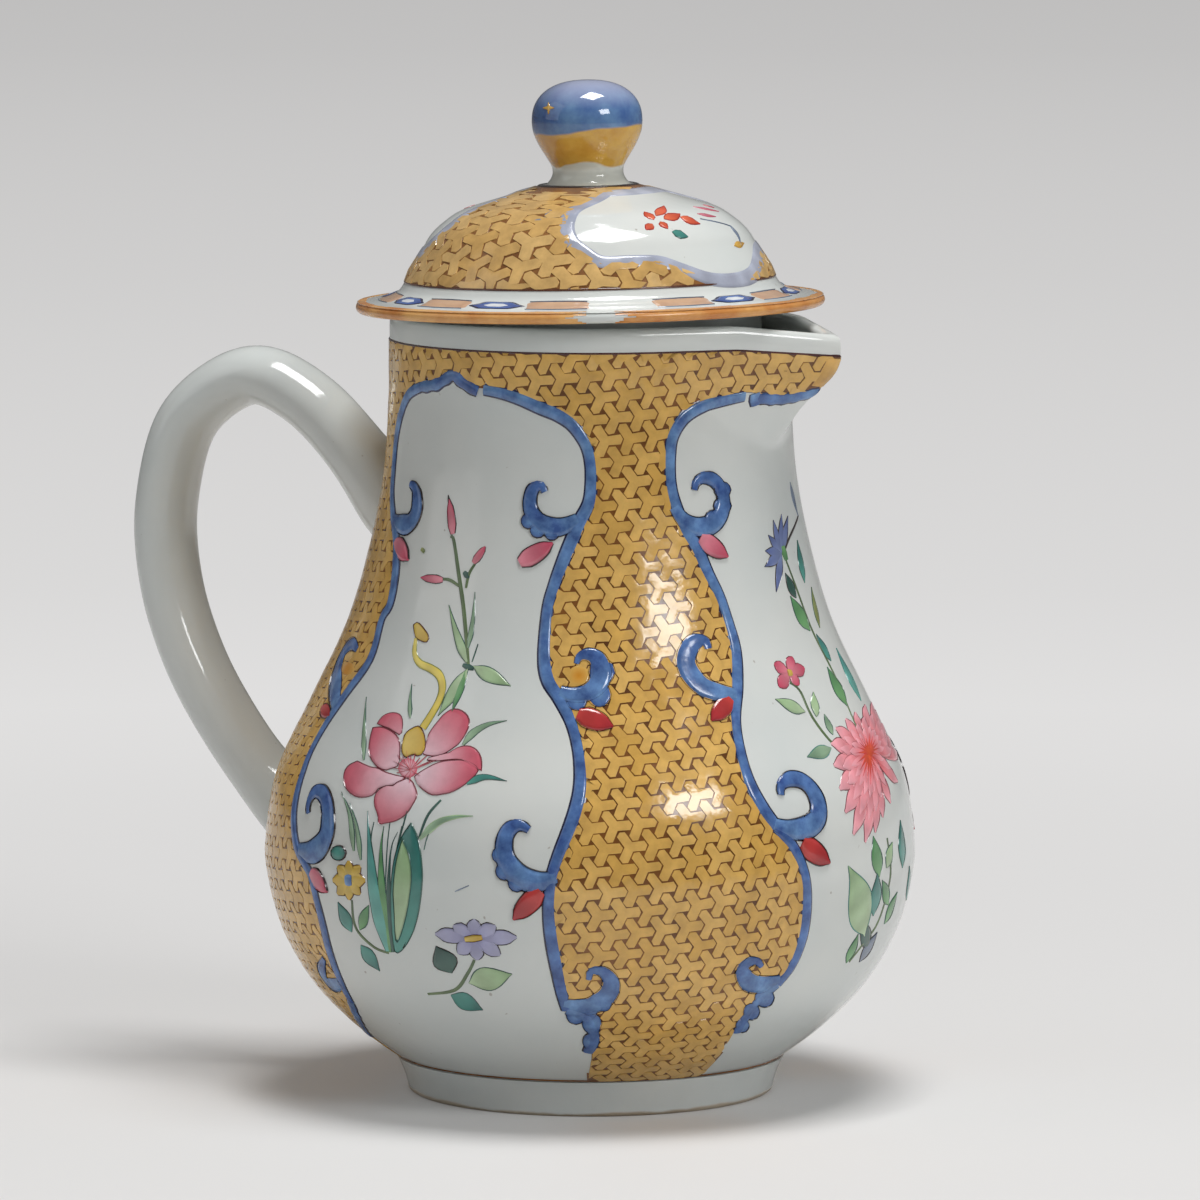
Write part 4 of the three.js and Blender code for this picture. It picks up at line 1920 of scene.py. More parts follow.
    def build(self, painter: Painter, material: Finish, top: float) -> None:
        """Paints the frames.

        Args:
            painter: The brush on the pot.
            material: The enamel of the buds.
            top: Length along the outline at the front panel's top.
        """
        near, far = painter.copies
        halves = ((False, far), (True, lambda angle, arc: self.lean(arc, top) - angle))
        tails = (tail[:-1] for tail in self.tails)
        ribbons = [self.apex, self.right, self.left, self.front, *self.front_breaks, *tails]
        discs = [disc(spot, radius, Paint.BLUE, Paint.INK) for spot, radius in self.lobes]
        for front, other in halves:
            painter.copies = (near, other)
            for line in ribbons:
                if (line[0][0] > self.front_from) == front:
                    places = painter.chart.trace(line)
                    painter.band(places, shaped(BRUSHED, self.ribbon + self.ribbon_edge), Paint.NAVY, 0.12)
                    painter.band(places, shaped(BRUSHED, self.ribbon), Paint.BLUE, 0.24)
            painter.lay([mark for mark in discs if (mark.root[0] > self.front_from) == front], 0.2)
            painter.lay(self.half_of(self.scrolls, front), 0.27)
        blue = Enamel("frame_blue", mottle=0.85, deep=(104, 118, 168)).build()
        painter.finish("panel_ribbons", Slot.BLUE, blue)
        for front, other in halves:
            painter.copies = (near, other)
            painter.lay(self.half_of(self.buds, front), 0.3)
        painter.finish("frame_buds", Slot.ROSE, material)
        painter.copies = (near, far)
        painter.lay([disc(spot, radius, Paint.EYE) for spot, radius in self.eyes], 0.17)
        painter.finish("frame_eyes", Slot.YELLOW, material)


@dataclass(frozen=True)
class SideSpray:
    """The peony spray of the side panel, by pixels of the picture."""

    heart: Pair = (410.9, 770)
    petals: tuple[Line, ...] = (
        ((377.2, 723.5), (383, 716.1), (391.3, 712.8), (399.6, 714.4), (402.6, 721), (401.3, 734.3),
         (396.3, 732.7), (389.7, 728.5), (383, 726)),
        ((442.7, 715.3), (449.4, 710.3), (457.6, 709), (465.9, 713.6), (469.3, 721), (467.6, 729.4),
         (461, 741), (456, 745.9), (446, 752.6), (436.1, 755.9), (426.1, 755), (422.8, 752.6),
         (426.1, 742.6), (429.5, 732.7), (436.1, 723.5)),
        ((449.4, 752.6), (457.6, 747.6), (467.6, 745.9), (475.9, 749.3), (480.9, 757.5), (481.7, 767.5),
         (480.9, 770.8), (474.2, 764.2), (462.6, 760), (451, 759.2), (436.1, 760.9), (426.1, 759.2),
         (436.1, 755.9)),
        ((407.9, 778.3), (412.9, 782.4), (416.2, 790.7), (417, 795.7), (412.9, 804), (406.2, 813.9),
         (396.3, 820.6), (386.3, 823), (378.9, 823.9), (378, 815.6), (374.7, 805.6), (374.7, 797.3),
         (378, 790.7), (386.3, 785.7), (393, 785.7), (397.9, 781.6)),
        ((357.3, 760.9), (369.8, 766.7), (378, 768.3), (386.3, 772.5), (397.9, 775.8), (406.2, 778.3),
         (393, 784.9), (386.3, 785.7), (378, 789), (373, 794.9), (361.5, 797.3), (351.5, 794),
         (344.9, 785.7), (344, 774.1), (348.2, 765.8)),
        ((373, 727.7), (381.4, 726.9), (391.3, 731), (397.9, 737.6), (399.9, 745.9), (399.6, 757.5),
         (397.9, 765.8), (391.3, 768.3), (384.7, 770), (376.4, 765.8), (370.6, 757.5), (368.9, 749.3),
         (370.6, 736)),
        ((414.5, 776.6), (419.5, 772.5), (427.8, 767.5), (436.1, 763.4), (446, 760.9), (461, 760),
         (470.9, 762.5), (477.5, 767.5), (477.5, 772.5), (470.9, 779.1), (464.3, 784.9), (452.7, 791.5),
         (442.7, 794), (432.8, 794.9), (424.5, 790.7), (417.8, 784.1)),
    )
    strokes: Line = (
        (394, 761), (398, 755), (403, 757), (407, 751), (411, 756), (416, 753), (420, 758), (427, 756),
        (431, 761), (437, 760), (397, 773), (393, 768), (402, 781), (410, 783), (421, 776),
    )
    leaves: tuple[Stroke, ...] = (
        blade(((467, 662), (456, 632), (449, 605)), 1.2, Paint.PALE_LEAF),
        blade(((468, 648), (473, 620), (475, 592)), 0.7, Paint.GRASS),
        leaf((473, 666), (511, 686), 1.9, Paint.PALE_LEAF),
        leaf((468.4, 668), (438, 716), 2.0, Paint.PALE_LEAF),
        leaf((466, 670), (452, 712), 1.2, Paint.GREEN),
        blade(((364, 760), (364.5, 725), (366.5, 697)), 0.8, Paint.GRASS),
        blade(((410.5, 718), (410, 700), (412, 684)), 0.6, Paint.GRASS),
        blade(((463, 745), (473, 733), (488, 724.5), (507, 720.5)), 1.0, Paint.GRASS),
        blade(((467, 784), (484, 777), (507, 781)), 0.9, Paint.TEAL),
        blade(((420, 839), (437, 823), (455, 817), (473, 816)), 0.9, Paint.GRASS, Paint.PALE_LEAF),
        blade(((354, 851), (350, 815), (341.5, 792)), 0.9, Paint.GRASS),
        blade(((361, 860), (357, 828), (350, 803)), 0.8, Paint.GRASS),
        blade(((388, 951), (377, 905), (370, 850), (368, 811)), 2.4, Paint.TURQUOISE),
        blade(((390, 952), (383, 900), (381, 850), (384, 826)), 1.8, Paint.GREEN),
        blade(((393, 952), (389, 900), (391, 850), (398, 832)), 1.0, Paint.DARK_LEAF, None),
        leaf((352, 932), (338, 902), 2.6, Paint.TEAL),
        leaf((361, 945), (380, 971), 2.8, Paint.TEAL),
        leaf((360, 930), (369, 905), 1.6, Paint.GREEN),
        leaf((452, 973), (436, 946), 3.9, Paint.DARK_LEAF, Paint.INK),
        leaf((469, 983), (512, 974), 3.6, Paint.PALE_LEAF),
        leaf((451, 995), (483, 1010), 3.2, Paint.TEAL),
    )
    clump: tuple[Patch, ...] = (
        Patch(((411, 823), (418, 838), (421.5, 860), (422, 885), (419, 910), (413, 932), (404, 948),
               (396, 953), (393, 940), (391, 915), (391, 885), (394, 860), (401, 838)),
              (400, 950), Paint.TEAL, Paint.DARK_LEAF),
        Patch(((403, 838), (410, 856), (412, 880), (409, 905), (403, 930), (397, 942), (395, 915),
               (394, 885), (397, 860)), (398, 940), Paint.PALE_LEAF, Paint.DARK_LEAF),
        disc((339, 853), 7.5, Paint.TEAL, Paint.INK),
    )
    stems: tuple[Stroke, ...] = (
        stalk(((451, 536), (454, 541), (459, 575.6), (463.8, 610), (468.4, 666.3)), 0.6),
        stalk(((475, 564), (469, 574), (466, 588)), 0.45),
        stalk(((442, 579), (450, 580), (459, 586)), 0.45),
        stalk(((472, 662), (478, 644)), 0.3, Paint.DARK_LEAF),
        Stroke(((416.2, 638), (414.5, 653), (419.5, 663), (432.8, 669.7), (441, 678), (441.9, 692.9),
                (434.4, 709.5), (422.8, 728)), (0.6, 0.9, 1.1, 1.0, 1.2), Paint.LEMON, Paint.OLIVE),
        stalk(((352, 900), (356, 928), (374, 947), (389, 953)), 0.45),
        stalk(((474.4, 959.9), (468, 973), (455, 990), (428, 994)), 0.5),
        stalk(((441, 800), (428, 815), (419, 838)), 0.4, Paint.DARK_LEAF),
        stalk(((411, 796), (406, 815), (399, 842)), 0.35, Paint.DARK_LEAF),
        stalk(((389, 950), (386, 900), (387, 850), (390, 822)), 0.3, Paint.DARK_LEAF),
        stalk(((394, 952), (392, 905), (395, 860), (402, 826)), 0.34, Paint.DARK_LEAF),
        stalk(((386, 950), (379, 915), (374, 880)), 0.3, Paint.INK),
        stalk(((403, 948), (413, 925), (417, 890), (414, 850), (408, 828)), 0.3, Paint.INK),
        stalk(((374, 868), (371, 840), (374, 822)), 0.3, Paint.DARK_LEAF),
        stalk(((424, 850), (428, 835), (436, 822)), 0.28, Paint.DARK_LEAF),
        stalk(((455, 891.5), (469, 885.5)), 0.22, Paint.SLATE),
    )
    buds: tuple[Stroke, ...] = (
        bud((453, 534), (449.5, 499), 1.35, Paint.PINK),
        bud((473.5, 563), (485.5, 546.5), 1.1, Paint.PINK),
        bud((443, 580), (421, 577.5), 1.1, Paint.PINK),
        Stroke(((449.3, 503), (448.4, 495)), (0.4, 0.4, 0.1), Paint.INK),
        Stroke(((464, 572), (469, 578)), (0.5, 0.9, 0.4), Paint.DARK_LEAF),
        Stroke(((463, 665), (474, 669)), (0.5, 0.9, 0.5), Paint.DARK_LEAF),
    )
    yellow: tuple[Line, ...] = (
        ((413.7, 624.9), (417.8, 622.4), (423.6, 628.2), (428.6, 635.7), (428.6, 640.6), (425.3, 642.3),
         (419.5, 639.8), (415.4, 636.5)),
        ((402, 744.3), (406.2, 732.7), (417.8, 726), (422.8, 731), (425.3, 739.3), (425.3, 749.3),
         (419.5, 755.9), (412.9, 754.2), (406.2, 757.5), (402, 752.6)),
    )
    daisy: Pair = (349.2, 880.2)
    daisy_radius: float = 19.5
    aster: Pair = (474.4, 938.1)
    aster_tips: Line = (
        (435.4, 933.9), (453.3, 925.7), (474.4, 919.2), (495.6, 925.7),
        (516.7, 937.1), (500.4, 955), (477.7, 959.9), (458.2, 953.4),
    )
    dots: Line = ((421.6, 549),)

    def build(self, painter: Painter, material: Finish) -> None:
        """Paints the spray.

        Args:
            painter: The brush on the pot.
            material: The enamel.
        """
        painter.lay(self.stems, 0.07)
        painter.lay(self.leaves, 0.09)
        painter.lay(self.clump[:1], 0.12)
        painter.lay(self.clump[1:], 0.24)
        painter.lay([stalk((dot, (dot[0] + 3, dot[1] + 3)), 0.6, Paint.OLIVE) for dot in self.dots], 0.1)
        painter.finish("side_spray_leaves", Slot.GREEN, material)
        painter.lay([disc((408, 768), 10, Paint.BLUSH)], 0.08)
        painter.lay([Patch(rim, self.heart, Paint.BLUSH, Paint.WINE) for rim in self.petals], 0.1)
        painter.lay([blade((self.heart, end), 0.3, Paint.ROSE, None) for end in self.strokes], 0.16)
        painter.lay(self.buds, 0.1)
        painter.finish("side_spray_petals", Slot.ROSE, material)
        painter.lay([Patch(rim, rim[0], Paint.YELLOW, Paint.BROWN) for rim in self.yellow], 0.12)
        painter.lay(self.daisy_marks(), 0.12)
        painter.finish("side_spray_yellow", Slot.YELLOW, material)
        tips = [petal(self.aster, tip, 2.1, Paint.LILAC, Paint.INK) for tip in self.aster_tips]
        painter.lay(tips, 0.1)
        x, y = self.daisy
        painter.lay([Stroke(((x - 3, y), (x + 3, y)), (1.4, 1.7, 1.4), Paint.BLUE)], 0.28)
        painter.finish("side_spray_blue", Slot.BLUE, material)
        x, y = self.aster
        eye = Stroke(((x - 9, y + 1), (x + 8, y - 1)), (0.7, 1.0, 0.7), Paint.YELLOW, Paint.BROWN)
        painter.lay([eye], 0.26)
        painter.finish("side_spray_aster_eye", Slot.YELLOW, material)

    def daisy_marks(self) -> list[Stroke]:
        """The round yellow petals of the daisy.

        Returns:
            A stroke for each petal.
        """
        x, y = self.daisy
        marks = []
        for turn in np.linspace(0, 2 * math.pi, 9)[:-1]:
            tip = (x + self.daisy_radius * 0.82 * math.cos(turn), y + self.daisy_radius * math.sin(turn))
            marks.append(Stroke(((x, y), tip), (0.6, 1.6, 1.9, 0.5), Paint.YELLOW, Paint.BROWN))
        return marks


@dataclass(frozen=True)
class FrontSpray:
    """The spray of the front panel, by pixels of the picture."""

    leaves: tuple[Stroke, ...] = (
        leaf((789.7, 482), (798, 516.5), 1.5, Paint.SLATE, None),
        leaf((804.5, 583), (797, 540), 2.0, Paint.TEAL),
        leaf((796, 598), (785, 573), 2.0, Paint.DARK_LEAF, Paint.INK),
        leaf((810, 631), (790, 596), 2.7, Paint.GREEN),
        leaf((819.6, 628), (811, 587), 1.6, Paint.OLIVE),
        leaf((831, 661), (816, 634), 2.1, Paint.TEAL),
        leaf((861, 701), (836, 648), 2.8, Paint.TURQUOISE, Paint.TEAL),
        leaf((847, 706), (827, 667), 3.0, Paint.GREEN),
        leaf((805, 712), (775, 699), 1.9, Paint.PALE_LEAF),
        leaf((816.3, 717), (813, 692), 1.7, Paint.PALE_LEAF),
        leaf((832.9, 735), (824, 714), 1.5, Paint.GRASS),
        leaf((831.2, 748), (807, 757), 1.8, Paint.GRASS, Paint.TEAL),
        leaf((879, 877), (873, 836), 3.0, Paint.GREEN),
        leaf((902, 868), (900, 820), 3.2, Paint.TEAL),
        leaf((864, 936), (848, 866), 5.4, Paint.PALE_LEAF, Paint.TEAL),
        leaf((873, 916), (877, 873), 3.2, Paint.TEAL),
        leaf((884, 924), (897, 892), 2.8, Paint.GREEN),
        leaf((859, 962), (877, 932), 3.2, Paint.SLATE, Paint.INK),
        leaf((846, 963), (858, 934), 2.2, Paint.GREEN),
        leaf((886, 868), (892, 842), 2.2, Paint.PALE_LEAF),
        leaf((906, 900), (909, 866), 2.2, Paint.TEAL),
        leaf((868, 948), (860, 920), 2.4, Paint.DARK_LEAF, Paint.INK),
        leaf((888, 905), (882, 880), 2.0, Paint.GREEN),
    )
    stems: tuple[Stroke, ...] = (
        stalk(((784, 555), (797, 590), (812, 630), (832, 670), (850, 712), (862, 740)), 0.5),
        stalk(((789, 682), (799.7, 690.6), (811.3, 715.5), (831.2, 742), (846, 752)), 0.5),
        stalk(((887, 838), (890, 879), (878, 922), (865, 941), (849, 962)), 0.55),
        stalk(((798, 516), (790, 536), (784, 552)), 0.4, Paint.INK),
    )
    cornflower: Pair = (781, 553)
    cornflower_tips: Line = (
        (764.5, 567), (776, 592), (765, 551), (768, 535), (773, 520), (781, 514), (787.5, 516),
    )
    posy: Pair = (789, 673)
    posy_tips: Line = (
        (774, 664), (779, 687), (792, 657), (804, 668), (799, 685),
    )
    mum: Pair = (868, 752)
    mum_reach: tuple[float, float, float, float] = (35, 29, 47, 85)  # left, right, up and down
    mum_petals: int = 19

    def build(self, painter: Painter, material: Finish) -> None:
        """Paints the spray.

        Args:
            painter: The brush on the pot.
            material: The enamel.
        """
        painter.lay(self.stems, 0.07)
        painter.lay(self.leaves, 0.09)
        painter.lay([Stroke(((782, 546), (786, 560)), (0.9, 1.3, 0.8), Paint.GREEN)], 0.26)
        painter.finish("front_spray_leaves", Slot.GREEN, material)
        tips = [leaf(self.cornflower, tip, 1.5, Paint.CORN, Paint.INK) for tip in self.cornflower_tips]
        painter.lay(tips, 0.1)
        painter.finish("front_spray_blue", Slot.BLUE, material)
        painter.lay([petal(self.posy, tip, 1.9, Paint.PINK, Paint.WINE) for tip in self.posy_tips], 0.1)
        self.mum_marks(painter)
        painter.finish("front_spray_petals", Slot.ROSE, material)
        x, y = self.posy
        painter.lay([Stroke(((x - 2, y), (x + 2, y)), (0.9, 1.1, 0.9), Paint.YELLOW)], 0.26)
        painter.finish("front_spray_eye", Slot.YELLOW, material)

    def mum_marks(self, painter: Painter) -> None:
        """Paints the chrysanthemum: three rounds of petals and red strokes over its heart.

        Args:
            painter: The brush on the pot.
        """
        x, y = self.mum
        left, right, up, down = self.mum_reach
        rounds = (
            (1.0, petal, 2.5, Paint.MUM, 0.08), (0.74, petal, 2.1, Paint.MUM, 0.11),
            (0.5, petal, 1.5, Paint.MUM, 0.14), (0.36, blade, 0.5, Paint.HEART, 0.18),
        )
        for ring, shape, width, paint, lift in rounds:
            marks = []
            for step in range(self.mum_petals):
                turn = 2 * math.pi * (step + ring) / self.mum_petals
                reach = ring * (1 + 0.08 * math.sin(5 * step + ring))
                high = down if math.sin(turn) > 0 else up
                across = right if math.cos(turn) > 0 else left
                tip = (x + across * reach * math.cos(turn), y + high * reach * math.sin(turn))
                start = (x + (tip[0] - x) * 0.12, y + (tip[1] - y) * 0.12)
                if shape is petal:
                    marks.append(petal(start, tip, width, paint, Paint.WINE))
                else:
                    marks.append(blade((start, tip), width, paint, None))
            painter.lay(marks, lift)
        painter.lay([disc(self.mum, 6.0, Paint.HEART)], 0.17)


@dataclass(frozen=True)
class PotPainting:
    """All that is painted on the pot: ground, frames, sprays and lines, in millimetres."""

    form: PotForm
    line_below_rim: float = 3.2
    line_width: float = 0.5
    foot_gap: float = 0.5
    sector: float = 52.0  # half width of the front sectors of the ground, in degrees
    seam: float = 0.06  # how far the back sector runs past its edges, in radians
    keel: tuple[float, ...] = (3.4, 3.8, 3.2)  # width of the plain band down the keel

    def build(self, chart: Chart) -> None:
        """Paints the pot.

        Args:
            chart: The pot's chart.
        """
        form, frames = self.form, PanelFrames()
        side_rim, front_rim = frames.rims(chart)
        low, top = self.foot_gap, float(front_rim[-1, 1])
        high = float(form.arc(form.rim - self.line_below_rim))

        def ground(angle: Array, arc: Array) -> Array:
            """Tells which places the yellow ground covers.

            Args:
                angle: Angles round the axis.
                arc: Lengths along the outline.

            Returns:
                True for each place that it covers.
            """
            angle = np.remainder(angle + math.pi, 2 * math.pi) - math.pi
            turn = -np.abs(angle)
            half = np.where(angle > 0, frames.lean(arc, top) - angle, angle)
            panels = within(side_rim, turn, arc) | within(front_rim, half, arc)
            return (arc > low) & (arc < high) & ~panels

        brown = PlainEnamel("line_brown", (128, 80, 34), (90, 54, 22)).build()
        skin = Skin(form).build("ground_lines", (low, high), ground)
        Bench.smooth(skin)
        hand_in(skin, Body.JUG, brown)
        self.tiles(ground, (low, high))
        enamel = Enamel("painted_enamel").build()
        both = Painter(chart, Body.JUG, (turned_by(1), turned_by(-1)))
        frames.build(both, enamel, top)
        SideSpray().build(both, enamel)
        FrontSpray().build(Painter(chart, Body.JUG), enamel)
        self.lines(high, brown)
        keel = Painter(chart, Body.JUG)
        line = np.array([(0.0, high - 0.3), (0.0, (high + top) / 2), (0.0, top + 0.4)])
        keel.band(line, self.keel, Paint.GROUND, 0.22)
        keel.finish("keel_ground", Slot.YELLOW, Enamel("keel_yellow", mottle=0.28).build())

    def tiles(self, ground: Covers, arcs: Pair) -> None:
        """Lays the tiles of the ground in three sectors round the pot.

        Args:
            ground: Tells which (angle, arc) places the ground covers.
            arcs: The lengths that it runs between.
        """
        form = self.form
        material = Enamel("ground_yellow", mottle=0.28).build()
        diaper = Diaper(form)
        half = math.radians(self.sector)
        sectors = (("near", -half, half), ("far", half, half), ("back", -math.pi, math.pi - 2 * half))
        for name, middle, spread in sectors:

            def folded(spots: Array, middle: float = middle) -> Array:
                """Folds the flat field round the pot and, in front, along the beak.

                Args:
                    spots: Flat (x, y) places.
                    middle: Angle of the sector's middle.

                Returns:
                    The (angle, arc) places.
                """
                arc = spots[..., 1]
                level = form.level_at(arc)
                turn = (spots[..., 0] - middle * form.neck) / form.radius(level) + middle
                sense = 1.0 if middle > 0 else -1.0
                away, beta = sense * turn, form.spread(level)
                drawn = np.maximum(beta - np.arctan(beta - away), 0.0)
                beak = (away < beta) & (abs(middle) < 2)
                return np.stack([np.where(beak, sense * drawn, turn), arc], -1)

            reach = spread * form.belly + abs(middle) * form.neck + 6
            hubs = diaper.hubs((-reach - abs(middle) * form.belly, arcs[0] - 3), (reach, arcs[1] + 3))
            flat = folded(hubs)
            over = self.seam if name == "back" else 0.0
            kept = (flat[:, 0] > middle - spread - over) & (flat[:, 0] <= middle + spread + over)
            if abs(middle) < 2:
                kept &= np.abs(flat[:, 0]) > 0.001
            tiles = diaper.build(f"ground_tiles_{name}", hubs[kept], folded, ground)
            hand_in(tiles, Body.JUG, material)

    def lines(self, high: float, brown: Finish) -> None:
        """Paints the brown lines under the rim and above the foot.

        Args:
            high: Length along the outline at which the upper line lies.
            brown: Their finish.
        """
        form, half = self.form, self.line_width / 2
        dark = PlainEnamel("rim_brown", (88, 54, 50), (62, 38, 40)).build()
        for name, arc, finish in (("rim_line", high, dark), ("foot_line", self.foot_gap, brown)):
            angles = np.linspace(-math.pi, math.pi, 241)[:-1]
            rows = []
            for offset, lift in ((-half, -0.03), (0.0, 0.14), (half, -0.03), (0.0, -0.08)):
                rows.append(form.at(angles, arc + offset + 0 * angles, lift))
            ring = self.hoop(name, np.stack(rows, 1))
            hand_in(ring, Body.JUG, finish)

    def hoop(self, name: str, rings: Array) -> Piece:
        """Closes rings of points into a hoop.

        Args:
            name: The hoop's name.
            rings: Its rings.

        Returns:
            The hoop.
        """
        hoop = Bench.wrapped(name, np.concatenate([rings, rings[:1]]))
        Bench.settle(hoop, fill=False)
        Bench.smooth(hoop, 60)
        return hoop


@dataclass(frozen=True)
class LidPainting:
    """All that is painted on the cover: amber ground, cartouches, brim and lines.

    Angles are in degrees from the beak and lengths in millimetres from the brim's edge.
    """

    form: CoverForm
    middle: float = -13.0  # of the near cartouche
    # Its outline from the knob round its far side.
    half_rim: tuple[Pair, ...] = (
        (38.8, 27.7), (56.4, 22.5), (59.9, 18.2), (57.7, 14.6), (51.9, 12.4), (46.5, 11.2),
        (37.0, 11.2), (27.5, 11.0), (20.7, 9.9), (10.7, 8.1), (0.0, 7.6),
    )
    base: float = 7.3  # where the amber ground ends above the brim
    crown: float = 30.5  # where it ends under the knob
    border: float = 2.4  # width of the cartouche's border
    rosettes: int = 10
    first: float = -91.2  # angle of one rosette
    row: float = 4.2  # where their middles lie
    rosette: Pair = (8.0, 2.5)  # their size across and along
    highlight_gap: Pair = (-67.0, -56.0)  # where the brim's amber edge is left off, white as a painted highlight
    petals: tuple[Stroke, ...] = (
        leaf((653.8, 219.8), (644, 212), 1.5, Paint.ORANGE, Paint.RED),
        leaf((656, 216), (664, 206), 1.4, Paint.ORANGE, Paint.RED),
        leaf((664, 219), (680, 214), 1.7, Paint.ORANGE, Paint.RED),
        leaf((660, 222), (668, 229), 1.3, Paint.ORANGE, Paint.RED),
        leaf((680, 217), (700, 224), 1.9, Paint.ORANGE, Paint.RED),
        leaf((652, 224), (646, 230), 1.3, Paint.ORANGE, Paint.RED),
        leaf((693, 207), (719, 212), 0.9, Paint.PINK, None),
        leaf((697, 214), (716, 217), 0.9, Paint.PINK, None),
        leaf((703, 205), (714, 208), 0.8, Paint.ROSE, None),
    )
    leaves: tuple[Stroke, ...] = (
        leaf((672, 232), (688, 237), 1.6, Paint.TEAL),
        leaf((533, 221), (562, 219), 1.7, Paint.SLATE, Paint.INK),
        leaf((545, 216), (556, 206), 1.0, Paint.SLATE, None),
        blade(((730, 226), (738, 236), (741, 246)), 0.9, Paint.SLATE, None),
        stalk(((700, 219), (716, 222), (730, 226)), 0.3, Paint.SLATE),
        leaf((734, 246), (744, 243), 1.1, Paint.GOLD, None),
    )

    def rim(self) -> Array:
        """The near cartouche's outline as (angle, arc) places.

        Returns:
            The places.
        """
        side = [(turn, arc) for turn, arc in self.half_rim]
        whole = [(-turn, arc) for turn, arc in side] + side[-2::-1]
        return np.array([(math.radians(self.middle + turn), arc) for turn, arc in whole])

    def build(self, chart: Chart) -> None:
        """Paints the cover.

        Args:
            chart: The cover's chart.
        """
        outside = chart.outside
        outline = smoothed([*self.rim(), self.rim()[0]], 5)
        total = float(outside.length[-1])
        middle = math.radians(self.middle)

        def ground(angle: Array, arc: Array) -> Array:
            """Tells which places the amber ground covers.

            Args:
                angle: Angles round the axis.
                arc: Lengths along the outline.

            Returns:
                True for each place that it covers.
            """
            near = np.remainder(angle - middle + math.pi, 2 * math.pi) - math.pi
            other = np.remainder(angle - middle, 2 * math.pi) - math.pi
            cartouche = within(outline, near + middle, arc) | within(outline, other + middle, arc)
            return (arc > self.base) & (arc < self.crown) & ~cartouche

        def folded(spots: Array) -> Array:
            """Lays the flat field over the dome, with the knob at its middle."""
            x, y = spots[..., 0], spots[..., 1]
            return np.stack([np.arctan2(y, x), total - np.hypot(x, y)], -1)

        brown = PlainEnamel("lid_line_brown", (152, 106, 58), (116, 74, 38)).build()
        skin = Skin(outside, 240, 0.6).build("lid_ground_lines", (self.base, self.crown), ground)
        Bench.smooth(skin)
        hand_in(skin, Body.LID, brown)
        diaper = Diaper(
            outside, arm_width=1.6, arm_length=1.85, turn=24, line=(0.005, 0.05), rise=0.16, hub=0.19,
            paint=((224, 186, 122), (204, 162, 94)), seed=9, wander=0.08,
        )
        hubs = diaper.hubs((-total, -total), (total, total))
        reach = np.hypot(hubs[:, 0], hubs[:, 1])
        tiles = diaper.build("lid_ground_tiles", hubs[reach < total - self.base + 2], folded, ground)
        hand_in(tiles, Body.LID, Enamel("lid_amber", mottle=0.32).build())
        self.marks(chart)
        self.brim(chart)

    def marks(self, chart: Chart) -> None:
        """Paints the cartouches and the lines round the dome.

        Args:
            chart: The cover's chart.
        """
        enamel = Enamel("lid_enamel").build()
        painter = Painter(chart, Body.LID, (turned_by(1), turned_by(1, math.pi)))
        rim = self.rim()
        closed = np.vstack([rim, rim[:1]])
        painter.band(closed, shaped((1, 0.8, 1.2, 1), self.border), Paint.CLOUD, 0.16)
        painter.finish("cartouche_borders", Slot.BLUE, enamel)
        painter.lay(self.petals, 0.1)
        painter.finish("cartouche_flowers", Slot.ROSE, enamel)
        painter.lay(self.leaves, 0.1)
        painter.finish("cartouche_leaves", Slot.GREEN, enamel)
        round_once = np.linspace(-math.pi, math.pi, 121)[::10]
        painter.copies = (turned_by(1),)
        fine, bold = (0.25, 0.4, 0.3, 0.4, 0.25), (0.5, 0.9, 0.6, 0.9, 0.5)
        for arc, widths, paint in ((self.base, fine, Paint.BROWN), (self.crown, bold, Paint.INK)):
            line = np.stack([round_once, np.full(len(round_once), arc)], 1)
            painter.band(line, widths, paint, 0.14)
        painter.finish("lid_lines", Slot.BROWN, enamel)

    def brim(self, chart: Chart) -> None:
        """Paints the brim's rosettes, blocks and amber edge.

        Args:
            chart: The cover's chart.
        """
        enamel = Enamel("brim_enamel").build()
        spacing = 2 * math.pi / self.rosettes
        # Painted highlight: the rosette at step 1 is left out, so the brim stays white where a glare lies on
        # it.
        copies = tuple(turned_by(1, step * spacing) for step in range(self.rosettes) if step != 1)
        painter = Painter(chart, Body.LID, copies)
        first = math.radians(self.first)
        across = float(chart.stretch(np.array([first, self.row])))
        turns = np.linspace(0, 2 * math.pi, 13)[:-1]
        wide, long = self.rosette
        layers = ((1.0, Paint.NAVY, 0.08), (0.88, Paint.COBALT, 0.12), (0.48, Paint.PORCELAIN, 0.16))
        for share, paint, lift in layers:
            scallop = 1 + 0.07 * np.cos(6 * turns)
            angle = first + np.cos(turns) * scallop * share * wide / 2 / across
            arc = self.row + np.sin(turns) * scallop * share * long / 2
            painter.shape(np.stack([angle, arc], 1), (first, self.row), paint, lift)
        painter.finish("brim_rosettes", Slot.BLUE, enamel)
        painter.copies = tuple(turned_by(1, step * spacing) for step in range(self.rosettes))
        half = (spacing * across - wide) / 2 / across - 0.018
        middle = first + spacing / 2
        rim = [
            (-half, -1.15), (0, -1.25), (half, -1.15), (half * 1.04, 0),
            (half, 1.1), (0, 1.2), (-half, 1.1), (-half * 1.04, 0),
        ]
        places = np.array([(middle + turn, self.row + arc) for turn, arc in rim])
        painter.shape(places, (middle, self.row), Paint.TAN, 0.08)
        painter.finish("brim_blocks", Slot.AMBER, enamel)
        bold, fine = (0.15, 0.3, 0.22, 0.3, 0.15), (0.12, 0.2, 0.14, 0.2, 0.12)
        for ends, crest, widths, lift in ((1.2, 1.32, bold, 0.12), (-1.3, -1.4, fine, 0.1)):
            line = [(middle - half, ends), (middle, crest), (middle + half, ends)]
            painter.band(np.array(line) + (0, self.row), widths, Paint.SLATE, lift)
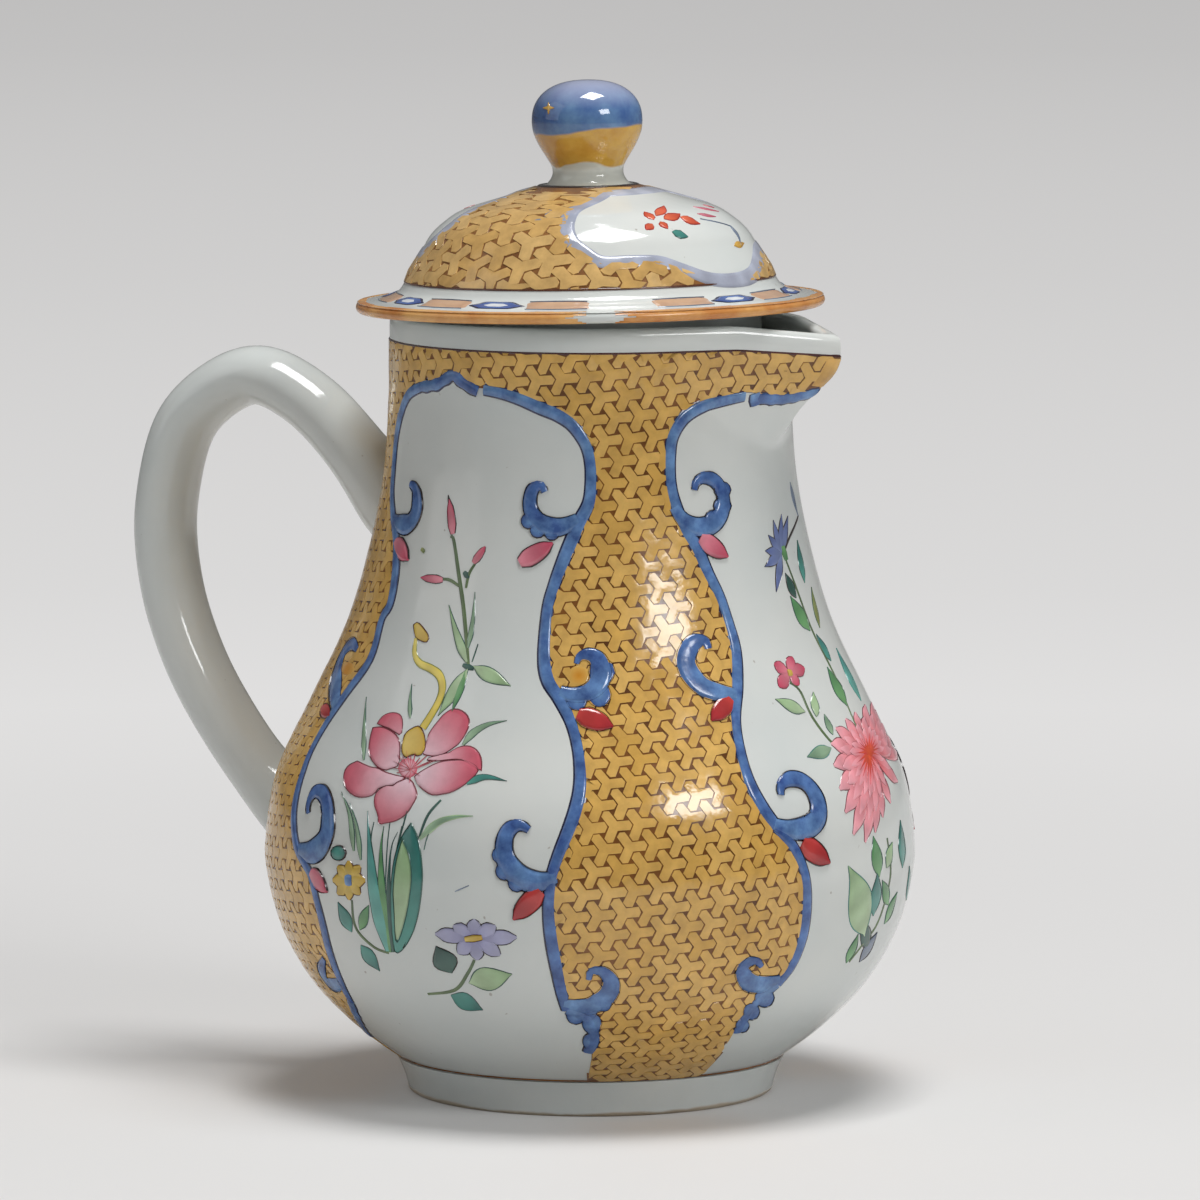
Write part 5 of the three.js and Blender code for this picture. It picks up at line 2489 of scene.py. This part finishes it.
        painter.finish("brim_block_lines", Slot.BLUE, enamel)
        self.edge()

    def edge(self) -> None:
        """Coats the brim's edge with amber, but for a span left white as a painted highlight."""
        form = self.form
        half = form.brim_thick / 2
        bend = [
            (form.brim - half * (1 - math.sin(turn)), half * (1 - math.cos(turn)))
            for turn in np.linspace(0.35, math.pi - 0.3, 12)
        ]
        top = [(float(r), float(z)) for r, z in form.side if r > form.brim - 2.1]
        side = TurnedSide(np.array([*bend, *top]), form.frame())
        low, high = (math.radians(angle) for angle in self.highlight_gap)

        def coated(angle: Array, arc: Array) -> Array:
            """Tells where the amber is left on the edge.

            Args:
                angle: Angles round the axis.
                arc: Lengths along the outline.

            Returns:
                True for each place that it covers.
            """
            ragged = 0.03 * np.sin(arc * 5) + 0.02 * np.sin(arc * 11)
            # Painted highlight: the amber is left off over this span, so the white shows.
            highlight_gap = (angle > low + ragged) & (angle < high - ragged)
            ends = 3.1 + 0.16 * np.sin(angle * 9) + 0.1 * np.sin(angle * 23 + 1)
            return ~highlight_gap & (arc < ends)

        coat = Skin(side, 360, 0.22, 0.07).build("brim_edge", (0.0, float(side.length[-1])), coated)
        Bench.smooth(coat, 60)
        amber = PlainEnamel("brim_amber", (222, 168, 100), (190, 120, 58)).build()
        hand_in(coat, Body.LID, amber)


@dataclass(frozen=True)
class KnobEnamel:
    """The knob's blue cap over a yellow band, with a bare white neck; the enamels are painted darker towards
    the left side as shade, and the cap paler at its top as a painted highlight.
    """

    name: str = "knob_enamel"
    middle: float = 12.57  # where its axis stands, in millimetres
    blue_from: float = 128.5  # height at which the blue starts
    yellow_from: float = 124.1
    rise: float = 0.1  # rise of the blue's edge for each millimetre towards the beak

    def build(self) -> Finish:
        """Makes the material.

        Returns:
            The material.
        """
        nodes = Nodes(self.name)
        parts = nodes.add("ShaderNodeSeparateXYZ")
        nodes.link(nodes.place, parts.inputs["Vector"])
        cloud = nodes.spread(nodes.noise(260, 4, 0.6), (0.3, 0.0), (0.7, 1.0))
        blue = nodes.blended(cloud, linear((62, 92, 148)), linear((104, 140, 178)))
        # Painted highlight: the blue turns pale lilac towards the top of the cap, where the top light falls.
        painted_highlight_share = nodes.spread(parts.outputs["Z"], (131.5 * MM, 0.0), (135 * MM, 0.75))
        blue = nodes.blended(painted_highlight_share, blue, linear((176, 178, 200)))
        # Painted shade: the blue darkens towards the knob's left side, away from the light.
        dark = nodes.spread(parts.outputs["X"], (4.8 * MM, 0.85), (11.5 * MM, 0.0))
        blue = nodes.blended(dark, blue, linear((42, 58, 108)))
        yellow = nodes.blended(cloud, linear((220, 178, 84)), linear((196, 146, 56)))
        # Painted shade: the yellow band turns brown towards the knob's left side, away from the light.
        brown = nodes.spread(parts.outputs["X"], (5.5 * MM, 0.8), (12 * MM, 0.0))
        yellow = nodes.blended(brown, yellow, linear((150, 96, 38)))
        white = linear((214, 217, 208))
        low = self.level(nodes, parts, self.yellow_from, 0.0, 0.65)
        high = self.level(nodes, parts, self.blue_from, self.rise, 0.35)
        lower = nodes.blended(low, white, yellow)
        nodes.link(nodes.blended(high, lower, blue), nodes.shader.inputs["Base Color"])
        nodes.shader.inputs["Roughness"].default_value = 0.07
        nodes.shader.inputs["IOR"].default_value = 1.62
        nodes.bump(nodes.noise(420, 2), 0.02)
        return nodes.material

    def level(
        self, nodes: Nodes, parts: bpy.types.Node, height: float, rise: float, wobble: float
    ) -> Socket:
        """Gives 1 above a wobbling level and 0 below it.

        Args:
            nodes: The material's nodes.
            parts: The node that gives X, Y and Z.
            height: The level, in millimetres.
            rise: Its rise along X, for each millimetre.
            wobble: How much it wobbles, in millimetres.

        Returns:
            The share.
        """
        lean = nodes.add("ShaderNodeMath", operation="MULTIPLY_ADD")
        nodes.link(parts.outputs["X"], lean.inputs[0])
        lean.inputs[1].default_value = -rise
        nodes.link(parts.outputs["Z"], lean.inputs[2])
        wave = nodes.add("ShaderNodeMath", operation="ADD")
        nodes.link(lean.outputs["Value"], wave.inputs[0])
        wobbled = nodes.spread(nodes.noise(170, 1), (0.3, -wobble * MM), (0.7, wobble * MM))
        nodes.link(wobbled, wave.inputs[1])
        level = (height - rise * self.middle) * MM
        return nodes.spread(wave.outputs["Value"], (level - 0.15 * MM, 0.0), (level + 0.15 * MM, 1.0))


def paint_star(chart: Chart) -> None:
    """Paints the small gold star on the knob.

    Args:
        chart: The knob's chart.
    """
    painter = Painter(chart, Body.LID)
    x, y = 548.6, 108.0
    rays = ((0.0, 5.5), (math.pi / 2, 6.05), (math.pi, 5.5), (1.5 * math.pi, 5.5))
    marks = []
    for turn, reach in rays:
        tip = (x + reach * math.cos(turn), y + reach * math.sin(turn))
        marks.append(Stroke(((x, y), tip), (0.5, 0.4, 0.1), Paint.GOLD))
    painter.lay(marks, 0.08)
    painter.finish("knob_star", Slot.AMBER, Enamel("star_gold").build())


@dataclass
class Studio:
    """The plain pale floor with its rising back, and the lamps."""

    view: PhotoView
    floor_radius: float = 4.6  # metres
    rise_radius: float = 1.6  # radius of the sweep that rises round it
    # Distance from the jug in metres, and the grey of the floor's painted glow that the camera sees there.
    tones: tuple[Pair, ...] = ((0.2, 226), (0.35, 226), (0.62, 218), (1.5, 207), (3.0, 194), (4.0, 190))

    def build(self) -> None:
        """Makes the floor, the world and the lamps."""
        self.floor()
        bpy.context.scene.view_settings.view_transform = "Standard"
        world = bpy.data.worlds.new("studio_air")
        bpy.context.scene.world = world
        world.use_nodes = True
        world.node_tree.nodes["Background"].inputs["Color"].default_value = (1, 1, 1, 1)
        world.node_tree.nodes["Background"].inputs["Strength"].default_value = 0.17
        self.lamp("window", 40, 28, 1.2, (0.42, 0.3), 4.4)
        self.lamp("fill_left", -80, 24, 1.6, (1.0, 1.2), 2.3)
        self.lamp("top", 60, 83, 1.4, (0.62, 0.55), 17.0)

    def lamp(
        self, name: str, azimuth: float, elevation: float, distance: float, size: Pair, power: float
    ) -> None:
        """Adds a soft lamp that faces the jug.

        Args:
            name: The lamp's name.
            azimuth: Degrees to the right of the camera, round the jug.
            elevation: Degrees above the table.
            distance: Distance from the jug, in metres.
            size: Width and height, in metres.
            power: Power in watts.
        """
        data = bpy.data.lights.new(name, "AREA")
        data.shape = "RECTANGLE"
        data.size, data.size_y = size
        data.energy = power
        lamp = bpy.data.objects.new(name, data)
        turn = math.radians(azimuth + self.view.azimuth)
        rise = math.radians(elevation)
        away = Vector((math.sin(turn) * math.cos(rise), -math.cos(turn) * math.cos(rise), math.sin(rise)))
        centre = Vector((self.view.axis_x * MM, 0, 0.065))
        lamp.location = centre + away * distance
        lamp.rotation_mode = "QUATERNION"
        lamp.rotation_quaternion = away.to_track_quat("Z", "Y")
        bpy.context.scene.collection.objects.link(lamp)

    def floor(self) -> None:
        """Makes the floor, a wide disc whose edge sweeps up."""
        outline: list[Pair] = [(0.0, 0.0)]
        outline += [(radius / MM, 0.0) for radius in (0.5, 1.5, 3.0, self.floor_radius)]
        for turn in np.linspace(0.1, math.pi / 2, 12):
            out = self.floor_radius + self.rise_radius * math.sin(turn)
            outline.append((out / MM, self.rise_radius * (1 - math.cos(turn)) / MM))
        Bench.clear()
        floor = self.turned_sheet("studio_floor", outline)
        nodes = Nodes("pale_floor")
        nodes.shader.inputs["Base Color"].default_value = linear((218, 217, 216))
        nodes.shader.inputs["Roughness"].default_value = 0.7
        nodes.shader.inputs["Specular IOR Level"].default_value = 0.2
        self.far_tone(nodes)
        floor.data.materials.append(nodes.material)
        Bench.smooth(floor)

    def far_tone(self, nodes: Nodes) -> None:
        """Paints a glow on the floor as the camera sees it, without lighting the jug: it evens out the far
        floor in tones that grow darker with distance, and lightens the floor and the jug's shadow a little
        near the jug.

        Args:
            nodes: The floor's material.
        """
        away = nodes.add("ShaderNodeVectorMath", operation="LENGTH")
        nodes.link(nodes.place, away.inputs[0])
        far = nodes.spread(away.outputs["Value"], (self.tones[0][0], 0.0), (self.tones[-1][0], 1.0))
        ramp = nodes.add("ShaderNodeValToRGB")
        nodes.link(far, ramp.inputs["Fac"])
        low, high = self.tones[0][0], self.tones[-1][0]
        stops = ramp.color_ramp.elements
        for distance, _ in self.tones[1:-1]:
            stops.new((distance - low) / (high - low))
        for stop, (_, tone) in zip(stops, self.tones):
            stop.color = linear((tone, tone - 1, tone - 1.5))
        glow = nodes.add("ShaderNodeEmission")
        nodes.link(ramp.outputs["Color"], glow.inputs["Color"])
        seen = nodes.add("ShaderNodeLightPath").outputs["Is Camera Ray"]
        share = nodes.add("ShaderNodeMath", operation="MULTIPLY")
        nodes.link(seen, share.inputs[0])
        nodes.link(nodes.spread(away.outputs["Value"], (0.09, 0.1), (0.42, 1.0)), share.inputs[1])
        blend = nodes.add("ShaderNodeMixShader")
        nodes.link(share.outputs["Value"], blend.inputs["Fac"])
        nodes.link(nodes.shader.outputs["BSDF"], blend.inputs[1])
        nodes.link(glow.outputs["Emission"], blend.inputs[2])
        nodes.link(blend.outputs["Shader"], nodes.tree.nodes["Material Output"].inputs["Surface"])

    def turned_sheet(self, name: str, outline: Sequence[Pair]) -> Piece:
        """Turns an open outline into a sheet that faces up and in.

        Args:
            name: The sheet's name.
            outline: (radius, height) points in millimetres.

        Returns:
            The sheet.
        """
        rings = []
        for turn in np.linspace(0, 2 * math.pi, 97):
            rings.append([(r * MM * math.cos(turn), r * MM * math.sin(turn), z * MM) for r, z in outline])
        sheet = Bench.wrapped(name, np.array(rings), closed=False)
        Bench.settle(sheet, fill=False)
        if sheet.data.polygons[0].normal.z < 0:
            sheet.data.flip_normals()
        return sheet


def main() -> None:
    """Builds the jug, its cover, its painting and the studio, in that order."""
    logging.basicConfig(level=logging.INFO, format="%(name)s %(message)s")
    foot_low, foot_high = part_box("foot_ring")
    pot_low, pot_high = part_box("pot")
    axis_x = (foot_low.x + foot_high.x) / 2 / MM
    view = PhotoView(axis_x)
    view.build()
    form = PotForm(axis_x, pot_low.z / MM, pot_high.z / MM)
    glaze = PorcelainGlaze().build()
    whole = Pot(form).build(glaze)
    FootRing(axis_x).build(UnglazedFoot().build())
    Handle(form).build(glaze)
    cover_form = CoverForm(axis_x)
    cover = Cover(cover_form).build(glaze)
    SeatRing(cover_form).build(glaze)
    knob = Knob(cover_form)
    knob_piece = knob.build(KnobEnamel().build())
    bpy.context.view_layer.update()
    LidPainting(cover_form).build(Chart(view, cover, cover_form.outside()))
    paint_star(Chart(view, knob_piece, TurnedSide(knob.side(), cover_form.frame())))
    PotPainting(form).build(Chart(view, whole, form))
    bpy.data.objects.remove(whole)
    Studio(view).build()


if __name__ == "__main__":
    main()
